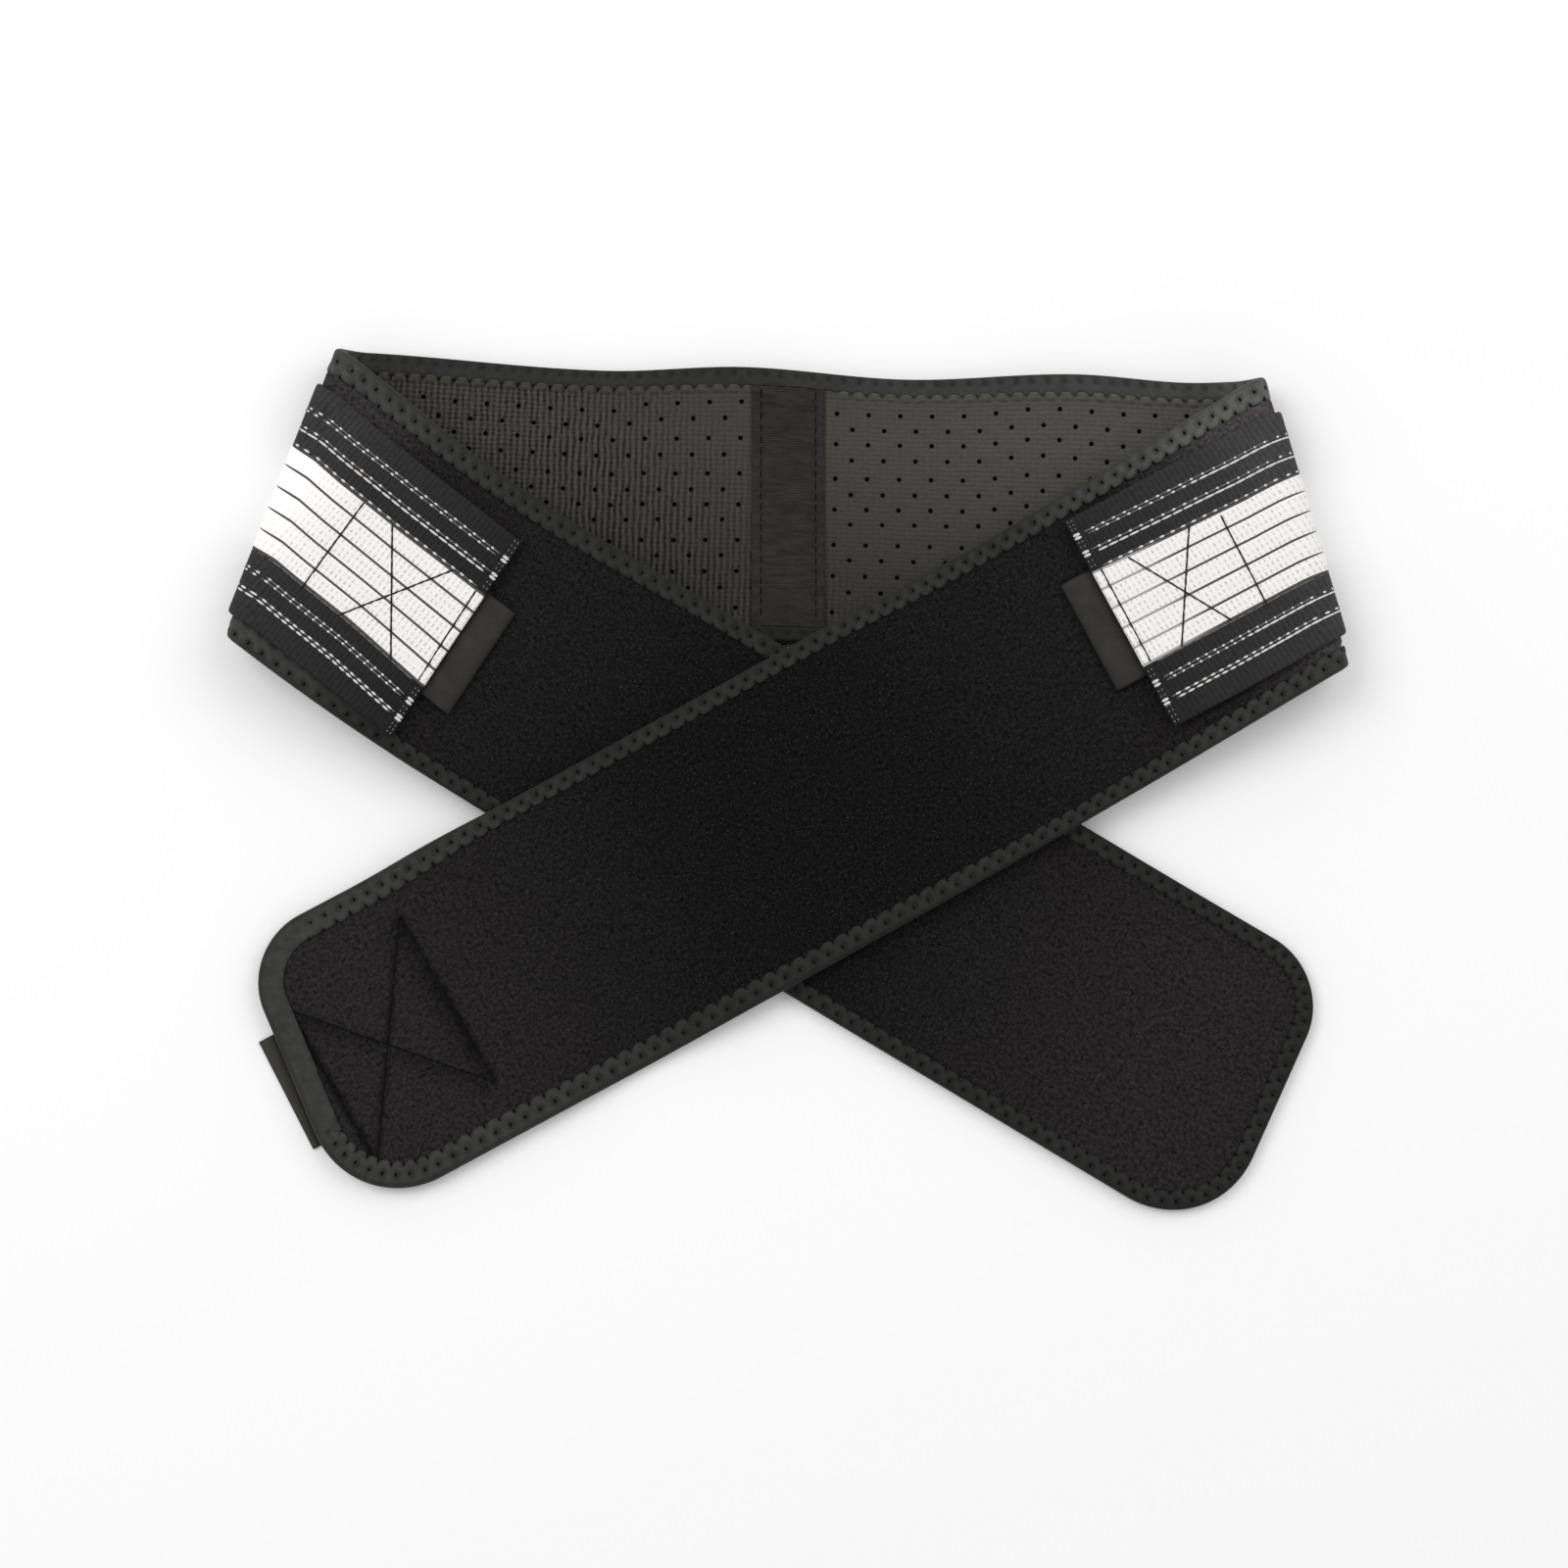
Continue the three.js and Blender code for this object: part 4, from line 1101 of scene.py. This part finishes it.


# Woven elastic, white polyester over rubber: bright, with grey pinholes where the weft binds the bands.
# Round the fold it is stretched, and the pinholes are pulled shut; there it is also painted paler, most on
# the left strap, as a painted highlight.
PINHOLE_ACROSS = 2.2
white_yarn = new_material("white_ribbed_elastic", Roughness=0.8, Specular_IOR_Level=0.2)
tree = white_yarn.node_tree
place, place_x, _, _ = carried_place(tree)
narrow = ranged(tree, wave_field(tree, place, WEFT_PITCH, "X", 0.4, 1), 0.55, 1.0)
drawn_out = ranged(tree, wave_field(tree, place, PINHOLE_ACROSS, "Y"), 0.1, 0.55)
uneven = ranged(tree, noise_field(tree, place, 0.6, 3), 0.3, 0.65)
pinholes = shaded(tree, narrow, drawn_out)
white_colour = mixed(tree, shaded(tree, pinholes, uneven), linear("#eae8e6"), linear("#b7b3af"))
# Round the folds: real closing of the pinholes and a painted highlight
stretched_and_lit_share = shade_along(tree, place_x, (-205, -178, -150, 150, 205), (0.0, 1.0, 1.0, 0.35, 0.0))
stretched_and_lit_colour = mixed(tree, stretched_and_lit_share, white_colour, linear("#f8f7f6"))
dress(white_yarn, stretched_and_lit_colour, pinholes, strength=0.4, depth=0.25, inward=True)

# The same elastic in black yarn: dull charcoal black with fine cross ribs; light and shade are painted into
# it, palest round the fold and darker towards the strap's end
black_yarn = new_material("black_ribbed_elastic", Roughness=0.85, Specular_IOR_Level=0.12)
tree = black_yarn.node_tree
place, place_x, _, _ = carried_place(tree)
weft = wave_field(tree, place, WEFT_PITCH, "X", 1.0, 2)
ribbed = mixed(tree, 0.75, weft, noise_field(tree, place, 0.6, 4))
black_colour = mixed(tree, ribbed, linear("#191919"), linear("#363636"))
# Painted light and shade: paler round the folds, darker towards the straps' ends
border_light_and_shade = shade_along(
    tree, place_x, (-260, -232, -208, -182, -150, 150, 182, 208, 232, 260),
    (0.5, 0.75, 0.9, 1.3, 1.45, 2.1, 1.9, 1.2, 0.9, 0.6),
)
dress(black_yarn, shaded(tree, black_colour, border_light_and_shade), ribbed, strength=0.3, depth=0.2)

# Grey warp ends between the white bands, thin and sunk; they are worn pale towards the right strap's end
grey_yarn = new_material("grey_warp_ends", Roughness=0.85, Specular_IOR_Level=0.12)
tree = grey_yarn.node_tree
worn_share = shade_along(tree, carried_place(tree)[1], (-260, 224, 242, 260), (0.0, 0.0, 0.8, 1.0))
dress(grey_yarn, mixed(tree, worn_share, linear("#4c4a49"), linear("#a9a6a4")))

# Bleached cotton cord: greyish white, twisted, standing a little proud of the black
white_cord = new_material(
    "bleached_cotton_cord", Base_Color=linear("#d3d1cf"), Roughness=0.85, Specular_IOR_Level=0.12,
)

# Spun polyester thread of the box seams, charcoal: it shows as thin dark lines on the white
seam_thread = new_material(
    "charcoal_polyester_thread", Base_Color=linear("#262525"), Roughness=0.8, Specular_IOR_Level=0.1,
)

# The core that the cords are twisted round, a duller white that shows between the strands' turns
cord_core = new_material(
    "dull_cotton_core", Base_Color=linear("#6b6967"), Roughness=0.9, Specular_IOR_Level=0.1,
)

# Strands of the cords: step from the strap's middle, phase, length of the part that shows, its length where
# the strap is drawn tight round the fold, and its height
STRANDS = (
    (31.6, 0.28, 1.15, 0.7, 0.1), (30.4, 0, 1.15, 3.7, 0.15), (24.9, 0.5, 1.2, 0.8, 0.1),
    (23.5, 0, 3.2, 3.7, 0.15), (18.2, 0.25, 1.6, 1.2, 0.1), (-18.0, 0, 3.5, 3.5, -0.3),
    (-23.6, 0.2, 1.2, 0.8, 0.1), (-24.8, 0, 1.2, 3.7, 0.15), (-30.4, 0.35, 2.0, 1.4, 0.1),
    (-31.6, 0, 2.5, 3.7, 0.15),
)
CORDS = (31.0, 24.2)
CORD_PITCH = 3.55
CORD_RADIUS = 0.4
CORE_RADIUS = 0.28
CORD_END = 5.5
DRAWN_BEFORE = 12
DRAWN_AFTER = 4
TUFT_RADIUS = 0.56
TUFT_ASIDE = (-0.65, 0.65)
TUFT_ENDS = (2.6, 0.2)
TUFT_HEIGHT = 0.1
HEM_ROWS = (0.8, 2.1)
HEM_HALVES = (-0.4, 0.4)
HEM_BORDER = (19.5, 38.5)
SEAM_STITCH = 3.0
SEAM_OVERLAP = 1.3
SEAM_HEIGHT = 0.9
SEAM_RADIUS = 0.36
RAISED = 0.1
FLAT_WEFT = 0.3
END_ROUND = 0.5
END_ROUND_RUN = 0.35
LAST_ROW = 0.2
CLOSED_LINES = 0.85
CLOSED_PAST_FOLD = (12, 25)
column_steps, column_closing, column_relief, column_yarns = strap_columns()


def stitch_ends(start, end, pitch, reach):
    """Places where the stitches of a straight seam start and end; each reaches over a share of the pitch."""
    count = round(math.dist(start, end) / pitch)
    shares = [(np.arange(count) + ahead) / count for ahead in (0, reach)]
    return [[lerp(low, high, share) for low, high in zip(start, end)] for share in shares]


for strap in STRAPS:
    wing = strap.wing
    strap_end = wing.wing_start + strap.end
    plain_wefts = (wing.fold_at - FINE_BEFORE_FOLD - STRAP_START) // WEFT_PITCH
    fine_start = STRAP_START + plain_wefts * WEFT_PITCH
    plain_rows = STRAP_START + np.arange(plain_wefts) * WEFT_PITCH
    fine_rows = np.arange(fine_start, strap_end - LAST_ROW, WEFT_PITCH / ROWS_PER_WEFT)
    along = np.concatenate([plain_rows, fine_rows, [strap_end]])[:, None]
    from_end = strap_end - along
    on_band = column_relief > RAISED
    weft_wave = WEFT_RELIEF * np.cos(2 * np.pi * along / WEFT_PITCH) * np.where(on_band, 1, FLAT_WEFT)
    hem_rise = HEM_RISE * np.sqrt(np.clip(1 - (2 * from_end / HEM - 1) ** 2, 0, 1)) * on_band
    end_round = END_ROUND * np.exp(-(from_end / END_ROUND_RUN) ** 2)
    stretched = CLOSED_LINES * (1 - eased(along - wing.fold_at, *CLOSED_PAST_FOLD))
    steps = column_steps + stretched * column_closing
    s, t, outer = on_strap(strap, along, steps, column_relief + weft_wave + hem_rise - end_round)
    inner = np.broadcast_to(on_strap(strap, along, 0, STRAP_OUTER - STRAP_INNER)[2], s.shape)
    order = slice(None, None, wing.side)
    strap_solid = sheet_solid(strap_surface, s[order], t[order], inner[order], outer[order])
    face_yarns = np.tile(column_yarns, len(along) - 1)
    rim_yarns = np.full(len(strap_solid[2]) - 2 * len(face_yarns), BLACK)
    webbing = make_piece(
        f"webbing_{wing.name}", strap_solid, [black_yarn, white_yarn, grey_yarn],
        np.concatenate([face_yarns, face_yarns, rim_yarns]),
    )
    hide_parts(f"strap_{wing.name}")

    cord_runs, core_runs, seam_runs = [], [], []
    for step, phase, slack_dash, tight_dash, height in STRANDS:
        start = np.arange(STRAP_START + CORD_PITCH * (1 + phase), strap_end - CORD_END, CORD_PITCH)
        slack = eased(start - wing.wing_start, strap.drawn - DRAWN_BEFORE, strap.drawn + DRAWN_AFTER)
        dash = lerp(tight_dash, slack_dash, slack)
        shown = [on_strap(strap, start + share * dash, step, height) for share in (0, 1)]
        bare = start[start > fine_start]
        core = [on_strap(strap, bare + share * CORD_PITCH, step, 0.0) for share in (0, 1)]
        cord_runs.append(thread_run(strap_surface, *shown, -1))
        core_runs.append(thread_run(strap_surface, *core, -1))
    hem_steps = np.arange(*HEM_BORDER, WEFT_PITCH)
    hem_steps = np.concatenate([-hem_steps, hem_steps])
    for row in HEM_ROWS:
        dashes = [on_strap(strap, strap_end - row, hem_steps + half, 0.0) for half in HEM_HALVES]
        core_runs.append(thread_run(strap_surface, *dashes, -1))
    tuft_step = np.array([sign * cord + aside for sign in (-1, 1) for cord in CORDS for aside in TUFT_ASIDE])
    tufts = [on_strap(strap, strap_end - back, tuft_step, TUFT_HEIGHT) for back in TUFT_ENDS]
    tuft_runs = [thread_run(strap_surface, *tufts, -1)]
    for start, end in strap.seams:
        ends = []
        for q, across in stitch_ends(start, end, SEAM_STITCH, SEAM_OVERLAP):
            layer = on_strap(strap, wing.wing_start + q, 0, BAND_CROWN * SEAM_HEIGHT)[2]
            ends.append((wing.side * (wing.wing_start + q), across, layer))
        seam_runs.append(thread_run(strap_surface, *ends, -1))
    strap_threads = [
        thread_piece(f"{kind}_{wing.name}", runs, radius, material)
        for kind, runs, radius, material in (
            ("webbing_cords", cord_runs, CORD_RADIUS, white_cord),
            ("webbing_cores", core_runs, CORE_RADIUS, cord_core),
            ("webbing_tufts", tuft_runs, TUFT_RADIUS, white_cord),
            ("strap_seams", seam_runs, SEAM_RADIUS, seam_thread),
        )
    ]

# Hook tabs
# A piece of moulded hook tape is sewn under each strap's end, and its grip stands past the strap.
# The smooth back of the tape shows, slightly arched; its hooks face the plush.
HOOK_INNER = -1.75
HOOK_OUTER = -3.2
TAB_WIDTH = 41
TAB_ROUND = 1.2
TAB_ARCH = 0.7
TAB_STEP = 1.2
TAB_CROSS_STEP = 1.5
ROUND_SHARE = 0.45
ROUND_STEPS = (0, 0.15, 0.5, 1.0)

# Nylon hook tape, woven back: dark grey-brown, smooth, with a soft gloss; light and shade are painted into
# it, paler on the tabs' arched crowns and in the middle of the front grip, darker at the rounded edges and in
# the groove at the tip
hook_tape = new_material("nylon_hook_tape", Roughness=0.55, Specular_IOR_Level=0.18)
tree = hook_tape.node_tree
place, _, _, place_z = carried_place(tree)
hook_mottle = noise_field(tree, place, 0.15, 4)
hook_grain = noise_field(tree, place, 1.5, 2)
hook_colour = mixed(tree, hook_mottle, linear("#151412"), linear("#2e2d29"))
# Painted light on the arched crowns, painted shade at the rounded edges and in the groove
crown_light_and_edge_shade = shade_along(
    tree, place_z, (-3.9, -3.2, -2.8, 2.5, 2.75, 3.3), (1.25, 0.75, 0.4, 1.9, 1.9, 0.3),
)
dress(hook_tape, shaded(tree, hook_colour, crown_light_and_edge_shade), hook_grain, strength=0.15, depth=0.2)


def rounded_line(length, edge, step):
    """Places along a length, close together at both ends for a rounded edge."""
    ends = np.array(ROUND_STEPS) * edge
    middle = np.linspace(edge, length - edge, max(3, round(length / step)))[1:-1]
    return np.concatenate([ends, middle, length - ends[::-1]])


def edge_fall(distance, thick):
    """How much a tape's face falls towards its rounded edge, from the distance to that edge."""
    return thick * ROUND_SHARE * (1 - np.sqrt(1 - (1 - np.clip(distance / TAB_ROUND, 0, 1)) ** 2))


for strap in STRAPS:
    wing = strap.wing
    start = wing.wing_start + strap.end - TAB_UNDER_STRAP
    length = strap.tab_end - strap.end + TAB_UNDER_STRAP
    run = rounded_line(length, TAB_ROUND, TAB_STEP)[:, None]
    step = rounded_line(TAB_WIDTH, TAB_ROUND, TAB_CROSS_STEP)[None, :]
    s, t = strap_flat(strap, start + run, strap.tab_across, step - TAB_WIDTH / 2)
    to_edge = np.minimum(np.minimum(run, length - run), np.minimum(step, TAB_WIDTH - step))
    fall = edge_fall(to_edge, HOOK_INNER - HOOK_OUTER)
    past_strap = np.clip((run - TAB_UNDER_STRAP) / (length - TAB_UNDER_STRAP), 0, 1)
    arch = TAB_ARCH * np.sin(np.pi * past_strap)
    order = slice(None, None, wing.side)
    inner, outer = (HOOK_INNER - fall)[order], (HOOK_OUTER + fall - arch)[order]
    tab_solid = sheet_solid(strap_surface, s[order], t[order], inner, outer)
    tab = make_piece(f"hook_grip_{wing.name}", tab_solid, [hook_tape])
    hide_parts(f"hook_tab_{wing.name}")

# Front hook patch
# A wider patch of the same tape closes the belt: it is sewn to the lining at the right wing's tip, through to
# the plush, and a narrower grip stands past the tip.
PATCH_INNER = 2.7
PATCH_OUTER = 4.15
PATCH_SHOULDER = 372
PATCH_HALF = 32
GRIP_HALF = 20.2
GRIP_ACROSS = -1.3
GRIP_PAST = 4.7
GRIP_GROOVE = 0.6
GROOVE_REACH = 1.4
SHOULDER_RUN = (-0.5, 2)
PATCH_SHARE = 0.05
patch_length = RIGHT.length + GRIP_PAST - PATCH_START
run = rounded_line(patch_length, TAB_ROUND, TAB_STEP)[:, None]
step = rounded_line(2, PATCH_SHARE, PATCH_SHARE)[None, :] - 1
on_grip = eased(PATCH_START + run - PATCH_SHOULDER, *SHOULDER_RUN)
half = lerp(PATCH_HALF, GRIP_HALF, on_grip)
s = RIGHT.wing_start + PATCH_START + run + 0 * step
t = GRIP_ACROSS * on_grip + step * half
to_edge = np.minimum(np.minimum(run, patch_length - run), (1 - np.abs(step)) * half)
fall = edge_fall(to_edge, PATCH_OUTER - PATCH_INNER)
past_tip = PATCH_START + run - RIGHT.length - t * math.tan(math.radians(RIGHT.end_slant))
groove = GRIP_GROOVE * np.exp(-(past_tip / GROOVE_REACH) ** 2)
patch_solid = sheet_solid(belt_surface, s, t, PATCH_OUTER - fall, PATCH_INNER + np.maximum(fall, groove))
patch = make_piece("hook_patch_front", patch_solid, [hook_tape])
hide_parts("hook_tab_front")

PATCH_STITCH = 2.8
PATCH_DASH = 0.95
PATCH_THREAD = 0.32
seam_runs = []
for start, end, _, _ in CLOSURE_CREASES:
    ends = []
    for q, across in stitch_ends(CLOSURE[start], CLOSURE[end], PATCH_STITCH, PATCH_DASH):
        ends.append((RIGHT.wing_start + q, across, plush_layer(RIGHT.wing_start + q, across)))
    seam_runs.append(thread_run(belt_surface, *ends, -1))
thread_piece("patch_seams", seam_runs, PATCH_THREAD, black_thread)
